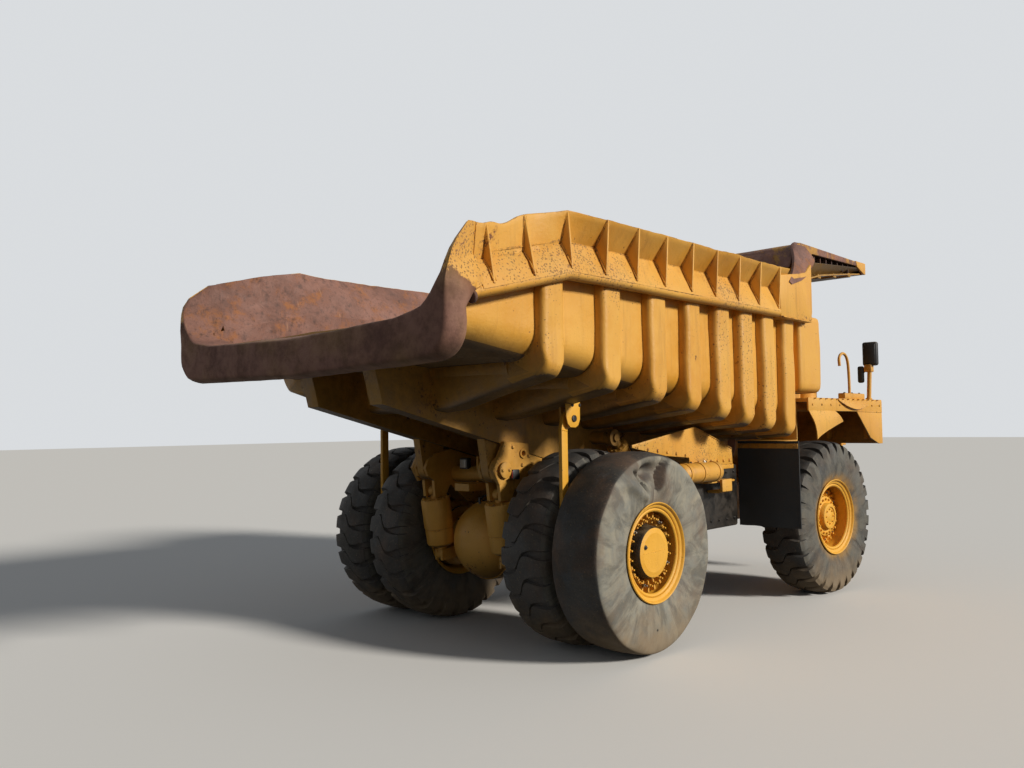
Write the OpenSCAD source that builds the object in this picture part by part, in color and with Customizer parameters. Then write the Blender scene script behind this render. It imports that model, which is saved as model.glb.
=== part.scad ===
// Rigid off-highway dump truck, ribbed steel body lowered on a box frame.
// Millimetres, +Z up, nose towards -Y, tail towards +Y, driver's side +X.

/* [Running gear] */
// Bumper's face ahead of the front axle
nose_overhang = 1950; // [1920:10:2000]
// Tail's lip behind the rear axle
tail_overhang = 2850; // [2800:10:2900]
// Wheelbase
wheelbase = 4200; // [4150:10:4250]
// Tyre radius to the tips of the lugs
tyre_r = 1000; // [980:5:1020]
// Radius of the bald tyre
bald_r = 978; // [960:2:985]
// Tyre width
tyre_w = 580; // [560:5:590]
// Rim radius at the flange
rim_r = 480; // [460:5:490]
// Gap between the two tyres of a pair
dual_gap = 75; // [70:5:90]
// Front wheel's centre plane from the truck's centre
front_track_x = 1720; // [1700:5:1740]
// Clearance between a rear strut and the inner tyre
strut_clear = 112; // [90:1:120]
// Kingpin's axis from the truck's centre
kingpin_x = 1180; // [1160:5:1190]
// Angle at which the front wheels were left, to the right
steer_rest = 4; // [0:0.5:6]

/* [Frame] */
// Frame rail's centre from the truck's centre
rail_x = 500; // [480:5:510]
// Width of a frame rail
rail_w = 200; // [180:5:220]
// Underside of the frame rails
rail_bottom_z = 900; // [860:5:930]
// Top of the frame rails
rail_top_z = 1500; // [1450:5:1530]
// Height of the body's pivot
pivot_z = 1800; // [1780:5:1820]
// Body's pivot behind the rear axle
pivot_back = 750; // [740:5:770]
// Radius of the body's pivot pin
pivot_pin_r = 60; // [50:1:70]

/* [Body] */
// Outer face of the body's side panels from the centre
panel_x = 1860; // [1840:5:1880]
// Thickness of a body wall
wall_t = 40; // [30:1:50]
// Radius of a half-round rib
rib_r = 165; // [150:1:175]
// Radius of the bend from side to floor
bend_r = 260; // [220:5:300]
// Slope of the body's floor in degrees
floor_slope = 7.4; // [6.5:0.1:8]
// Height of the side panel's lower edge over the rear axle
floor_z = 2580; // [2560:5:2600]
// Radius of the long rail under the side board
beam_r = 75; // [65:1:80]
// Height of the long rail's middle
beam_z = 3535; // [3500:5:3560]
// Depth of the notch between rail and top edge
notch_d = 135; // [110:1:150]
// Height of the notch above the rail
notch_z = 305; // [280:5:330]
// Height of the top edge above the rail
board_h = 540; // [520:5:560]
// Last rib behind the rear axle
rib_back = 1530; // [1500:10:1550]
// How far the side drops towards the tail in degrees
drop_angle = 13.8; // [10:0.1:16]
// Start of the drop behind the rear axle
drop_back = 1400; // [1350:10:1450]
// Body's front face behind the front axle
body_clear = 420; // [400:10:450]
// Spacing of the gusset plates
gusset_pitch = 477; // [460:1:490]
// Thickness of a gusset plate
gusset_t = 20; // [12:1:25]
// Canopy's roof plate over the body's top edge
canopy_rise = 485; // [460:5:500]
// Canopy's reach ahead of the body's front
canopy_reach = 1830; // [1780:10:1860]

/* [Cab and decks] */
// Top face of the decks
deck_z = 2550; // [2520:5:2570]
// Cab's inner side from the truck's centre
cab_in_x = 700; // [680:5:720]
// Cab's outer side from the truck's centre
cab_out_x = 1800; // [1780:5:1820]
// Gap between the cab's roof and the canopy's roof plate
cab_gap = 450; // [420:5:480]
// Cab's length
cab_len = 1480; // [1400:5:1500]
// Thickness of the cab's walls
cab_t = 50; // [40:1:60]
// Outer edge of the decks from the truck's centre
deck_x = 2050; // [2020:5:2080]
// Back edge of the decks and the hood behind the front axle
deck_back = 960; // [930:10:980]

/* [Hidden] */
$fn = 48;

yellow = "#d9992b";
rust = "#7a4a3a";
black = "#26262a";

overall_len = nose_overhang + wheelbase + tail_overhang;
tail_y = overall_len / 2;
nose_y = -overall_len / 2;
rear_y = tail_y - tail_overhang;
front_y = rear_y - wheelbase;
axle_z = tyre_r;
pivot_y = rear_y + pivot_back;
body_front_y = front_y + body_clear;
drop_y = rear_y + drop_back;
rear_strut_r = 148;
rear_track_x = rail_x + rear_strut_r + strut_clear + 1.5 * tyre_w + dual_gap;
inner_track_x = rear_track_x - tyre_w - dual_gap;
dual_mid_x = rear_track_x - (tyre_w + dual_gap) / 2;
beam_x = panel_x + rib_r + 25;
board_top_z = beam_z + board_h;
corner_top_z = board_top_z + 155;
wall_top_z = board_top_z + 125;
canopy_z = board_top_z + canopy_rise;
seat_gap = 0.3;
frame_out_x = rail_x + rail_w / 2;
slope = tan(floor_slope);
far = 12000;

// Height of the body's lower corner at a place along the truck
function floor_at(y) = floor_z + (y - rear_y) * slope;

// Shared shapes

// A block between two corners
module block(a, b) translate(a) cube([b[0] - a[0], b[1] - a[1], b[2] - a[2]]);

// A plate drawn in Y and Z, from x0 to x1
module plate_yz(points, x0, x1) translate([x0, 0, 0]) rotate([90, 0, 90]) linear_extrude(x1 - x0) polygon(points);

// A plate drawn in X and Z, from y0 to y1
module plate_xz(points, y0, y1) translate([0, y1, 0]) rotate([90, 0, 0]) linear_extrude(y1 - y0) polygon(points);

// A round bar along X, Y or Z from a centre
module bar_x(c, r, x0, x1) translate([x0, c[0], c[1]]) rotate([0, 90, 0]) cylinder(r = r, h = x1 - x0);
module bar_y(c, r, y0, y1) translate([c[0], y0, c[1]]) rotate([-90, 0, 0]) cylinder(r = r, h = y1 - y0);
module bar_z(c, r, z0, z1) translate([c[0], c[1], z0]) cylinder(r = r, h = z1 - z0);

// The same thing on both sides
module both() { children(); mirror([1, 0, 0]) children(); }

/* Chassis */

// Frame rail seen from the side, with its kick over the rear axle
rail_top_slope = 0.257;
saddle_z = 1890;
saddle_y = rear_y + 90;
kick_y = saddle_y - (saddle_z - rail_top_z) / rail_top_slope;
horn_end_y = pivot_y - 230;
function saddle_at(y) = saddle_z + (y - saddle_y) * rail_top_slope;
rail_outline = [
  [nose_y + 330, rail_bottom_z], [rear_y - 1150, rail_bottom_z], [rear_y - 560, 1400],
  [rear_y + 260, 1400], [horn_end_y, 1600], [horn_end_y, saddle_at(horn_end_y)],
  [kick_y, rail_top_z], [nose_y + 330, rail_top_z]];
// Cheek plate that holds the body's pivot
horn_outline = [
  [horn_end_y, 1600], [pivot_y, pivot_z - 150], [pivot_y + 100, pivot_z - 90], [pivot_y + 140, pivot_z],
  [pivot_y + 100, pivot_z + 90], [pivot_y, pivot_z + 150], [horn_end_y, saddle_at(horn_end_y)]];
bracket_outline = [
  [pivot_y - 410, 1860], [pivot_y + 60, 1650], [pivot_y + 150, 1800], [pivot_y - 20, 2090], [pivot_y - 380, 2060]];
bracket_hole = [pivot_y - 290, 1960];
bracket_hole_r = 28;
cheek_t = 40;
pivot_gap = 10;
strut_pin_r = 40;
hoist_x = 850;
hoist_pin_r = 45;
hoist_base = [rear_y - 2200, 750];
hoist_head = [rear_y - 800, 2100];
cross_tubes = [ // y, z, radius
  [rear_y - 1450, 1250, 130],
  [front_y + 1500, 1330, 110],
  [pivot_y - 330, 1720, 90]];
front_beam_z = 1420;

frame_in_x = rail_x - rail_w / 2;
module frame() color(yellow) {
  both() {
    plate_yz(rail_outline, frame_in_x, frame_out_x);
    plate_yz(horn_outline, frame_in_x, frame_in_x + cheek_t);
    plate_yz(horn_outline, frame_out_x - cheek_t, frame_out_x);
    difference() {
      plate_yz(bracket_outline, frame_out_x, frame_out_x + cheek_t);
      bar_x(bracket_hole, bracket_hole_r, frame_out_x - 1, frame_out_x + cheek_t + 1);
    }
    bar_x([pivot_y, pivot_z], pivot_pin_r, frame_in_x, frame_out_x + cheek_t + 20);
    // Hoist foot
    plate_yz([[hoist_base[0] - 120, hoist_base[1] - 110], [hoist_base[0] + 120, hoist_base[1] - 110],
      [hoist_base[0] + 260, 1100], [hoist_base[0] - 260, 1100]], frame_out_x, frame_out_x + 60);
    bar_x(hoist_base, hoist_pin_r, frame_out_x, hoist_x + 75);
    // Lugs that hold the rear struts
    for (x = [frame_in_x, frame_out_x - cheek_t]) plate_yz([[rear_strut_top[0] - 80, rear_strut_top[1] - 60],
      [rear_strut_top[0] + 70, rear_strut_top[1] - 60], [rear_strut_top[0] + 90, 1660], [horn_end_y - 10, 1640]], x, x + cheek_t);
    bar_x(rear_strut_top, strut_pin_r, frame_in_x, frame_out_x);
    tank_arms();
    // Outriggers and towers that carry the front struts
    block([frame_out_x + seat_gap, front_y - 150, front_beam_z], [kingpin_x - 190, front_y + 150, rail_top_z - 10]);
    block([grille_w / 2 + 10, front_y - 150, rail_top_z - 10 + seat_gap], [kingpin_x - 190, front_y + 150, rail_top_z + 280]);
  }
  // Cross members between the rails
  cross_half = frame_in_x - seat_gap;
  for (t = cross_tubes) bar_x([t[0], t[1]], t[2], -cross_half, cross_half);
  block([-cross_half, front_y - 150, front_beam_z], [cross_half, front_y + 150, rail_top_z - 10]);
  // Tow plate at the tail
  difference() {
    union() {
      block([-cross_half, pivot_y - 390, 1560], [cross_half, pivot_y - 330, 1720]);
      block([-110, pivot_y - 331, 1560], [110, pivot_y - 20, 1640]);
    }
    bar_z([0, pivot_y - 90], 32, 1500, 1700);
    bar_x([cross_tubes[2][0], cross_tubes[2][1]], cross_tubes[2][2] + seat_gap, -far, far);
  }
}

tow_r = 90;
tow_bore_r = 32;
tow_x = 520;
bumper_y = nose_y + 2 * tow_r;
bumper_half = 1500;
bumper_z = [780, 1180];
module bumper() color(yellow) difference() {
  union() {
    block([-bumper_half, bumper_y, bumper_z[0]], [bumper_half, nose_y + 330, bumper_z[1]]);
    both() for (z = [850, 970]) {
      bar_z([tow_x, nose_y + tow_r], tow_r, z, z + 50);
      block([tow_x - tow_r, nose_y + tow_r, z], [tow_x + tow_r, bumper_y, z + 50]);
    }
  }
  both() bar_z([tow_x, nose_y + tow_r], tow_bore_r, 800, 1100);
}

grille_w = 1240;
grille_y = nose_y + 350;
module radiator_grille() color(black) {
  difference() {
    block([-grille_w / 2, grille_y, rail_top_z], [grille_w / 2, grille_y + 120, deck_z - 60]);
    block([-grille_w / 2 + 60, grille_y - 1, rail_top_z + 60], [grille_w / 2 - 60, grille_y + 90, deck_z - 120]);
  }
  for (i = [0:8]) block([-grille_w / 2 + 50, grille_y + 20, rail_top_z + 110 + i * 100],
    [grille_w / 2 - 50, grille_y + 90, rail_top_z + 140 + i * 100]);
}

hood_y = grille_y + 120;
deck_back_y = front_y + deck_back;
hood_back_y = deck_back_y;
module engine_hood() color(yellow) difference() {
  block([-grille_w / 2, hood_y, rail_top_z], [grille_w / 2, hood_back_y, deck_z + 20]);
  block([-grille_w / 2 + 40, hood_y - 1, rail_top_z - 1], [grille_w / 2 - 40, hood_back_y - 40, deck_z - 20]);
}

engine_half = frame_in_x - 30;
engine_top_z = deck_z - 200;
gearbox_back_y = front_y + 1350;
module engine_block() color(black) {
  block([-engine_half, hood_y + 200, 1000], [engine_half, front_y - 160, engine_top_z]);
  block([-engine_half, front_y - 160 + seat_gap, rail_top_z], [engine_half, hood_back_y - 260, engine_top_z]);
  block([-engine_half + 40, front_y + 160, 820], [engine_half - 40, gearbox_back_y, rail_top_z - seat_gap]);
}

// Decks over the front wheels

deck_t = 60;
deck_front_y = nose_y + 510;
skirt_outline = [ // seen from the side
  [deck_back_y, deck_z], [deck_front_y, deck_z], [deck_front_y, 1950], [front_y - 940, 1950],
  [front_y - 180, 2360], [front_y + 590, 1960], [front_y + 900, 2060], [deck_back_y, 2360]];

module deck_half() {
  block([grille_w / 2, deck_front_y, deck_z - deck_t], [deck_x, deck_back_y, deck_z]);
  plate_yz(skirt_outline, deck_x + seat_gap, deck_x + 20);
  // Front face down to the bumper's height
  plate_xz([[grille_w / 2, 1500], [grille_w / 2, deck_z], [deck_x, deck_z], [deck_x, 1950], [bumper_half, 1500]],
    deck_front_y - 30, deck_front_y - seat_gap);
}
module right_deck() color(yellow) mirror([1, 0, 0]) deck_half();
module left_deck() color(yellow) deck_half();

handrail_r = 19;
post_y = deck_front_y + 40;
rail_posts = [ // x, y
  [680, post_y], [1340, post_y], [2000, post_y]];
rail_zs = [deck_z + 450, deck_z + 881];
step_x = [1080, 1420];
step_n = 4;
step_rise = 300;
hook_r = 22;
hook_y = [front_y - 520, front_y - 80];
module handrails() color(yellow) {
  for (p = rail_posts) bar_z(p, handrail_r, deck_z, deck_z + 900);
  // Rails between neighbouring posts, seated on them
  for (i = [0, 1], z = rail_zs) difference() {
    bar_x([post_y, z], handrail_r - 1, rail_posts[i][0], rail_posts[i + 1][0]);
    for (k = [i, i + 1]) bar_z(rail_posts[k], handrail_r + seat_gap, deck_z, deck_z + 1000);
  }
  // Steps from the bumper up to the deck
  both() {
    for (x = step_x) block([x, deck_front_y - 90, bumper_z[1]], [x + 30, deck_front_y - 30, deck_z - 100]);
    for (i = [0:step_n - 1]) block([step_x[0], deck_front_y - 200, bumper_z[1] + 120 + i * step_rise],
      [step_x[1] + 30, deck_front_y - 90 - seat_gap, bumper_z[1] + 150 + i * step_rise]);
  }
  // Hooked grab pipe on the right deck
  bar_z([-1980, hook_y[0]], hook_r, deck_z, deck_z + 630);
  bar_y([-1980, deck_z + 630], hook_r, hook_y[0] - hook_r, hook_y[1] + hook_r);
  bar_z([-1980, hook_y[1]], hook_r, deck_z + 520, deck_z + 630);
}

// Cab

cab_back_y = front_y + 230;
cab_front_y = cab_back_y - cab_len;
cab_top_z = canopy_z - cab_gap;
sill_z = deck_z + 760;
head_z = cab_top_z - 190;
door_y = [cab_front_y + 360, cab_front_y + 1160];
door_z = [deck_z + 60, cab_top_z - 110];
door_gap = 10;
pane_inset = 20;
hinge_r = 14;
hinge_at = [cab_out_x + 16, door_y[0] + 4];
hinge_h = 60;
hinge_zs = [door_z[0] + 160, door_z[1] - 280];
module cab_room(g) block([cab_in_x + g, cab_front_y + g, deck_z + g], [cab_out_x - g, cab_back_y - g, cab_top_z - g]);
module cab_holes() {
  // Front, back and inner windows
  block([cab_in_x + 110, cab_front_y - 1, sill_z], [cab_out_x - 110, cab_front_y + cab_t + 1, head_z]);
  block([cab_in_x + 150, cab_back_y - cab_t - 1, sill_z + 100], [cab_out_x - 150, cab_back_y + 1, head_z]);
  block([cab_in_x - 1, cab_front_y + 150, sill_z], [cab_in_x + cab_t + 1, cab_back_y - 150, head_z]);
}
module cab_shell() color(yellow) {
  difference() {
    cab_room(0);
    cab_room(cab_t);
    cab_holes();
    block([cab_out_x - cab_t - 1, door_y[0], door_z[0]], [cab_out_x + 1, door_y[1], door_z[1]]);
  }
  for (z = hinge_zs) {
    bar_z(hinge_at, hinge_r, z, z + hinge_h);
    block([cab_out_x, hinge_at[1] - 50, z], [hinge_at[0], hinge_at[1], z + hinge_h]);
  }
}
pane_t = 8;
module pane(a, b) block(a, b);
module cab_glass() color("#9fb4b8") {
  pane([cab_in_x + 110, cab_front_y + pane_inset, sill_z], [cab_out_x - 110, cab_front_y + pane_inset + pane_t, head_z]);
  pane([cab_in_x + 150, cab_back_y - pane_inset - pane_t, sill_z + 100], [cab_out_x - 150, cab_back_y - pane_inset, head_z]);
  pane([cab_in_x + pane_inset, cab_front_y + 150, sill_z], [cab_in_x + pane_inset + pane_t, cab_back_y - 150, head_z]);
}
cab_mid_x = (cab_in_x + cab_out_x) / 2;
module cab_interior() color(black) {
  floor_z0 = deck_z + cab_t;
  block([cab_mid_x - 220, cab_back_y - 760, floor_z0], [cab_mid_x + 220, cab_back_y - 300, floor_z0 + 380]);
  block([cab_mid_x - 250, cab_back_y - 780, floor_z0 + 380], [cab_mid_x + 250, cab_back_y - 260, floor_z0 + 500]);
  block([cab_mid_x - 240, cab_back_y - 260, floor_z0 + 380], [cab_mid_x + 240, cab_back_y - 140, floor_z0 + 1080]);
  block([cab_in_x + 120, cab_front_y + cab_t, floor_z0], [cab_out_x - 120, cab_front_y + 260, floor_z0 + 620]);
  translate([cab_mid_x, cab_front_y + 260, floor_z0 + 560]) rotate([-60, 0, 0]) {
    cylinder(r = 25, h = 240);
    translate([0, 0, 240]) cylinder(r = 210, h = 28);
  }
}
module cab_door() color(yellow) {
  difference() {
    block([cab_out_x - cab_t, door_y[0] + door_gap, door_z[0] + door_gap],
      [cab_out_x, door_y[1] - door_gap, door_z[1] - door_gap]);
    block([cab_out_x - cab_t - 1, door_y[0] + 90, sill_z], [cab_out_x + 1, door_y[1] - 90, head_z]);
  }
  for (z = hinge_zs) {
    bar_z(hinge_at, hinge_r, z + hinge_h + 0.3, z + 2 * hinge_h);
    block([cab_out_x - 5, door_y[0] + door_gap, z + hinge_h + 0.3], [hinge_at[0], hinge_at[1] + 60, z + 2 * hinge_h]);
  }
}
module cab_door_glass() color("#9fb4b8") block([cab_out_x - pane_inset - pane_t, door_y[0] + 90, sill_z],
  [cab_out_x - pane_inset, door_y[1] - 90, head_z]);

mirror_y = front_y - 1160;
module mirrors() color(black) both() {
  bar_z([2020, mirror_y], 20, deck_z, deck_z + 620);
  block([1930, mirror_y - 45, deck_z + 620], [2130, mirror_y + 45, deck_z + 960]);
}

lamp_r = 90;
lamp_xs = [grille_w / 2 + 280, bumper_half + 200];
module lamps() color("#c9c6ba") {
  both() for (x = lamp_xs) translate([x, deck_front_y - 30, 2150]) rotate([90, 0, 0]) cylinder(r = lamp_r, h = 60);
  both() block([rail_x + rail_w / 2 + cheek_t, pivot_y - 200, 1700], [rail_x + rail_w / 2 + cheek_t + 40, pivot_y - 100, 1800]);
}

module air_cleaners() color(yellow) for (y = [front_y - 900, front_y - 350])
  translate([-1150, y, deck_z]) {
    cylinder(r = 190, h = 520);
    translate([0, 0, 520]) cylinder(r = 120, h = 90);
  }

// Suspension and axle

strut_r = 150;
module front_struts() color(yellow) both() {
  bar_z([kingpin_x, front_y], strut_r, 1300, 2120);
  block([kingpin_x - 190, front_y - 120, front_beam_z + 10], [kingpin_x, front_y + 120, rail_top_z + 260]);
}

rear_strut_top = [rear_y + 680, 1540];
rear_strut_foot = [rear_y + 560, 830];
strut_eye_r = 62;
strut_eye_w = 58;
housing_r = 220;
axle_arm_r = 150;
ball_r = 420;
ball_y = rear_y + 40;
drawbar_x = [300, 385];
module rear_axle() color(yellow) {
  bar_x([rear_y, axle_z], housing_r, -710, 710);
  bar_x([rear_y, axle_z], axle_arm_r, -inner_track_x, inner_track_x);
  // Round housing of the differential
  translate([0, ball_y, axle_z]) rotate([90, 0, 0]) rotate_extrude($fn = 64) intersection() {
    circle(r = ball_r);
    translate([0, -ball_r + 60]) square([ball_r, 2 * ball_r - 120]);
  }
  both() {
    for (x = [rail_x - 60, rail_x + 30]) plate_yz([[rear_y, 860], [rear_strut_foot[0] - 60, 770], [rear_strut_foot[0] + 60, 770],
      [rear_strut_foot[0] + 60, 890], [rear_strut_foot[0] - 60, 900], [rear_y, 1100]], x, x + 30);
    bar_x(rear_strut_foot, strut_pin_r, rail_x - 60, rail_x + 60);
    // Drawbar to the cross tube
    plate_yz([[rear_y, 900], [rear_y - 1270, 1150], [rear_y - 1270, 1350], [rear_y, 1150]], drawbar_x[0], drawbar_x[1]);
  }
  bar_y([0, axle_z], 70, gearbox_back_y + seat_gap, rear_y);
  block([-drawbar_x[1], rear_y - 1319.7, 1160], [drawbar_x[1], rear_y - 1200, 1340]);
}
strut_tilt = atan2(rear_strut_top[0] - rear_strut_foot[0], rear_strut_top[1] - rear_strut_foot[1]);
strut_len = norm(rear_strut_top - rear_strut_foot);
module rear_struts() color(yellow) both() translate([rail_x, rear_strut_foot[0], rear_strut_foot[1]])
  rotate([-strut_tilt, 0, 0]) difference() {
    union() {
      for (z = [0, strut_len]) translate([-strut_eye_w / 2, 0, z]) rotate([0, 90, 0]) cylinder(r = strut_eye_r, h = strut_eye_w);
      block([-strut_eye_w / 2, -45, 0], [strut_eye_w / 2, 45, strut_len]);
      translate([0, 0, 140]) cylinder(r = 125, h = 200);
      translate([0, 0, 300]) cylinder(r = rear_strut_r, h = strut_len - 400);
    }
    for (z = [0, strut_len]) translate([-strut_eye_w, 0, z]) rotate([0, 90, 0]) cylinder(r = strut_pin_r + 0.05, h = 2 * strut_eye_w);
  }

// Tanks

flap_y = front_y + 1320;
tank_y = [flap_y + 330, rear_y - 1450];
tank_z = [1000, 1750];
tank_x = [1050, 1450];
module fuel_tank() color(yellow) block([tank_x[0], tank_y[0], tank_z[0]], [tank_x[1] + 150, tank_y[1], tank_z[1]]);
module tank_arms() for (y = [tank_y[0] + 150, tank_y[0] + 450])
  block([frame_out_x, y, 1250], [tank_x[0], y + 100, 1400]);
module hydraulic_tank() color(yellow) {
  block([-tank_x[1], tank_y[0], tank_z[0]], [-tank_x[0], tank_y[1], tank_z[1]]);
  // Guard plate over the tank
  plate_yz([[tank_y[0] + 120, tank_z[1] + seat_gap], [tank_y[0] + 140, tank_z[1] + 180], [tank_y[1] - 130, tank_z[1] + 460],
    [tank_y[1] + 1100, tank_z[1] + 285], [tank_y[1] + 1100, tank_z[1] + 250], [tank_y[1] + 470, tank_z[1] + 145],
    [tank_y[1], tank_z[1] + 120], [tank_y[1] - 10, tank_z[1] + seat_gap]], -tank_x[1], -tank_x[1] + 20);
}
air_tank_r = 110;
air_tank_x = tank_x[1] + 190;
air_tank_z = tank_z[1] - 50;
module air_tank() color(yellow) {
  bar_y([-air_tank_x, air_tank_z], air_tank_r, tank_y[1] - 300, tank_y[1] + 550);
  for (y = [tank_y[1] - 280, tank_y[1] - 60]) block([-air_tank_x, y, air_tank_z - 40], [-tank_x[1], y + 40, air_tank_z]);
}

flap_bottom_z = 960;
flap_x = [1280, 2100];
module mud_flaps() color(black) both() {
  block([flap_x[0], flap_y, flap_bottom_z], [flap_x[1], flap_y + 20, flap_top_z]);
  // Bracket that hangs the flap from the deck
  plate_yz([[deck_back_y - 20, deck_z - deck_t], [deck_back_y, deck_z - deck_t], [deck_back_y, flap_top_z],
    [flap_y - seat_gap, flap_top_z], [flap_y - seat_gap, flap_top_z - 20], [deck_back_y - 20, flap_top_z - 20]],
    flap_x[0] + 120, flap_x[1] - 200);
}

/* Dump body */

body_side_front = body_front_y;
floor_front_y = body_front_y + 680;
post_back_y = body_front_y + 650;
rib_back_y = rear_y + rib_back;
rib_front_y = floor_front_y + 235;
flap_top_z = floor_at(rib_front_y) - rib_r - 23;
rib_shares = [0, 0.1877, 0.3584, 0.5063, 0.6439, 0.7634, 0.8828, 1]; // of the run between the first and the last rib
rib_ys = [for (k = rib_shares) rib_back_y + k * (rib_front_y - rib_back_y)];
post_bottom_z = 2620;
floor_half = panel_x - bend_r;
lip_y = rear_y + 2600;
lip_bottom_z = 2750;
lip_top_z = 3125;
wrap_y = rear_y + 2580;
corner_r = 270;
board_front_y = post_back_y + 250;
corner_front_y = body_front_y + 470;
inner_x = panel_x - wall_t;
wall_front_y = body_front_y + 80;

// Everything above the line of the floor's underside
module above_floor(lift) translate([-far / 2, rear_y, floor_z]) rotate([floor_slope, 0, 0])
  translate([0, -far, lift]) cube([far, 2 * far, far]);

// The load space's lower outline, drawn out along the slope of the floor
module load_trough() translate([0, rear_y, floor_z]) rotate([floor_slope, 0, 0]) translate([0, far / 2, 0])
  rotate([90, 0, 0]) linear_extrude(far) {
    translate([-inner_x, bend_r]) square([2 * inner_x, 3000]);
    translate([-floor_half, wall_t]) square([2 * floor_half, 3000]);
    for (s = [-1, 1]) translate([s * floor_half, bend_r]) circle(r = bend_r - wall_t);
  }
module side_trough() translate([0, rear_y, floor_z]) rotate([floor_slope, 0, 0]) translate([0, far / 2, 0])
  rotate([90, 0, 0]) linear_extrude(far) difference() {
    union() {
      translate([floor_half, bend_r]) square([bend_r, 3000]);
      translate([floor_half, bend_r]) circle(r = bend_r);
    }
    translate([0, -10]) square([floor_half, 3000]);
  }

module body_floor() color(rust) {
  intersection() {
    plate_yz([[floor_front_y, 1500], [lip_y, 1500], [lip_y, 4000], [floor_front_y, 4000]], -floor_half, floor_half);
    above_floor(0);
    difference() {
      above_floor(-10);
      above_floor(wall_t);
    }
  }
  plate_yz([[lip_y, lip_bottom_z], [tail_y - 40, lip_bottom_z], [tail_y, lip_bottom_z + 60], [tail_y, lip_top_z - 30],
    [tail_y - 60, lip_top_z], [lip_y - 100, lip_top_z], [lip_y - 400, floor_at(lip_y - 400) + wall_t], [lip_y, floor_at(lip_y)]],
    -floor_half, floor_half);
}

// Section of the rail, the shelf and the side board
foot_p = [beam_x + 70, beam_z + 60];
notch_p = [beam_x + 85 - notch_d, beam_z + notch_z];
top_p = [beam_x + 100, board_top_z];
function board_section(g) = [
  [inner_x - 20, beam_z - 75 + g], [panel_x - 15, beam_z - 75 + g], [beam_x, beam_z - 40 + g], foot_p - [g, 0],
  notch_p - [g, 0], top_p - [g, g], top_p - [wall_t - g, g], notch_p - [50 - g, 0], [inner_x - 20, beam_z + 25 - g]];
// A length of it, drawn in by g all round
module board_piece(y0, y1, g) {
  plate_xz(board_section(g), y0, y1);
  bar_y([beam_x, beam_z], beam_r - g, y0, y1);
}
module gusset(y) plate_xz([foot_p, top_p, [notch_p[0] - 5, notch_p[1]]], y - gusset_t / 2, y + gusset_t / 2);
board_end = lip_y - drop_y + 200;
module tilted() translate([0, drop_y, beam_z]) rotate([-drop_angle, 0, 0]) translate([0, -drop_y, -beam_z]) children();
// The half of space on one side of the bend, cut along its mitre, with a lap of the weld
weld_lap = 8;
module half_at_drop(behind) translate([0, drop_y, beam_z]) rotate([-drop_angle / 2, 0, 0])
  translate([0, behind ? -weld_lap : weld_lap - far, -far / 2]) cube([far, far, far]);
gusset_first = rear_y + 2350;

module rib(y) {
  z = floor_at(y) + bend_r;
  bar_z([panel_x, y], rib_r, z, beam_z - 60);
  translate([floor_half, y, z]) rotate([90, 0, 0]) rotate_extrude(angle = -90) translate([bend_r, 0]) circle(r = rib_r);
}

module body_side() {
  difference() {
    union() {
      intersection() {
        side_trough();
        plate_yz([[floor_front_y, 2000], [wrap_y, 2000], [wrap_y, beam_z - (wrap_y - drop_y) * tan(drop_angle)],
          [drop_y, beam_z], [post_back_y - 10, beam_z], [post_back_y - 10, post_bottom_z], [floor_front_y, post_bottom_z]], 0, 3000);
      }
      for (y = rib_ys) rib(y);
      // Wide post at the front corner and the flat panel over it
      block([inner_x - 10, body_side_front, post_bottom_z], [panel_x + rib_r, post_back_y, beam_z]);
      block([inner_x - 10, corner_front_y, beam_z - 50], [foot_p[0], board_front_y, board_top_z]);
      block([inner_x - 10, body_side_front, beam_z - 50], [panel_x, corner_front_y + 80, board_top_z]);
      plate_yz([[corner_front_y, board_top_z - 10], [board_front_y, board_top_z - 10], [board_front_y, board_top_z], [post_back_y - 70, corner_top_z],
        [corner_front_y, corner_top_z]], foot_p[0] - 60, foot_p[0]);
      intersection() {
        board_piece(board_front_y, drop_y + 200, 0);
        half_at_drop(false);
      }
      intersection() {
        tilted() board_piece(drop_y - 200, drop_y + board_end, 3);
        half_at_drop(true);
        plate_yz([[drop_y - 300, 2500], [wrap_y, 2500], [wrap_y, 3440], [wrap_y - 100, 3860], [drop_y - 300, 4400]], 0, 3000);
      }
      for (i = [0:10]) {
        y = gusset_first - i * gusset_pitch;
        if (y < drop_y) gusset(y);
        else tilted() gusset(drop_y + (y - drop_y) / cos(drop_angle));
      }
    }
    load_trough();
    block([0, -far, 0], [floor_half, far, far]);
    block([0, corner_front_y + 80, beam_z + 50], [foot_p[0] - 60, board_front_y, far]);
  }
  // Rounded wrap at the tail's corner
  difference() {
    translate([0, tail_y, 0]) rotate([90, 0, 0]) linear_extrude(tail_y - wrap_y) difference() {
      union() {
        translate([floor_half, lip_bottom_z]) square([foot_p[0] - corner_r - floor_half, 690]);
        translate([floor_half, lip_bottom_z + corner_r]) square([foot_p[0] - floor_half, 690 - corner_r]);
        translate([foot_p[0] - corner_r, lip_bottom_z + corner_r]) circle(r = corner_r);
      }
      translate([floor_half - 1, lip_top_z + 250]) square([inner_x - floor_half + 1, 700]);
      translate([floor_half - 1, lip_top_z]) square([inner_x - floor_half - 249, 700]);
      translate([inner_x - 250, lip_top_z + 250]) circle(r = 250);
      square([floor_half, 4000]);
    }
    plate_yz([[tail_y - 60, lip_top_z + 100], [tail_y + 10, lip_top_z + 60], [tail_y + 10, 4000], [wrap_y - 10, 4000],
      [wrap_y - 10, 3440], [wrap_y, 3440]], 0, 3000);
  }
}
module body_side_left() color(yellow) body_side();
module body_side_right() color(yellow) mirror([1, 0, 0]) body_side();

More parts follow.
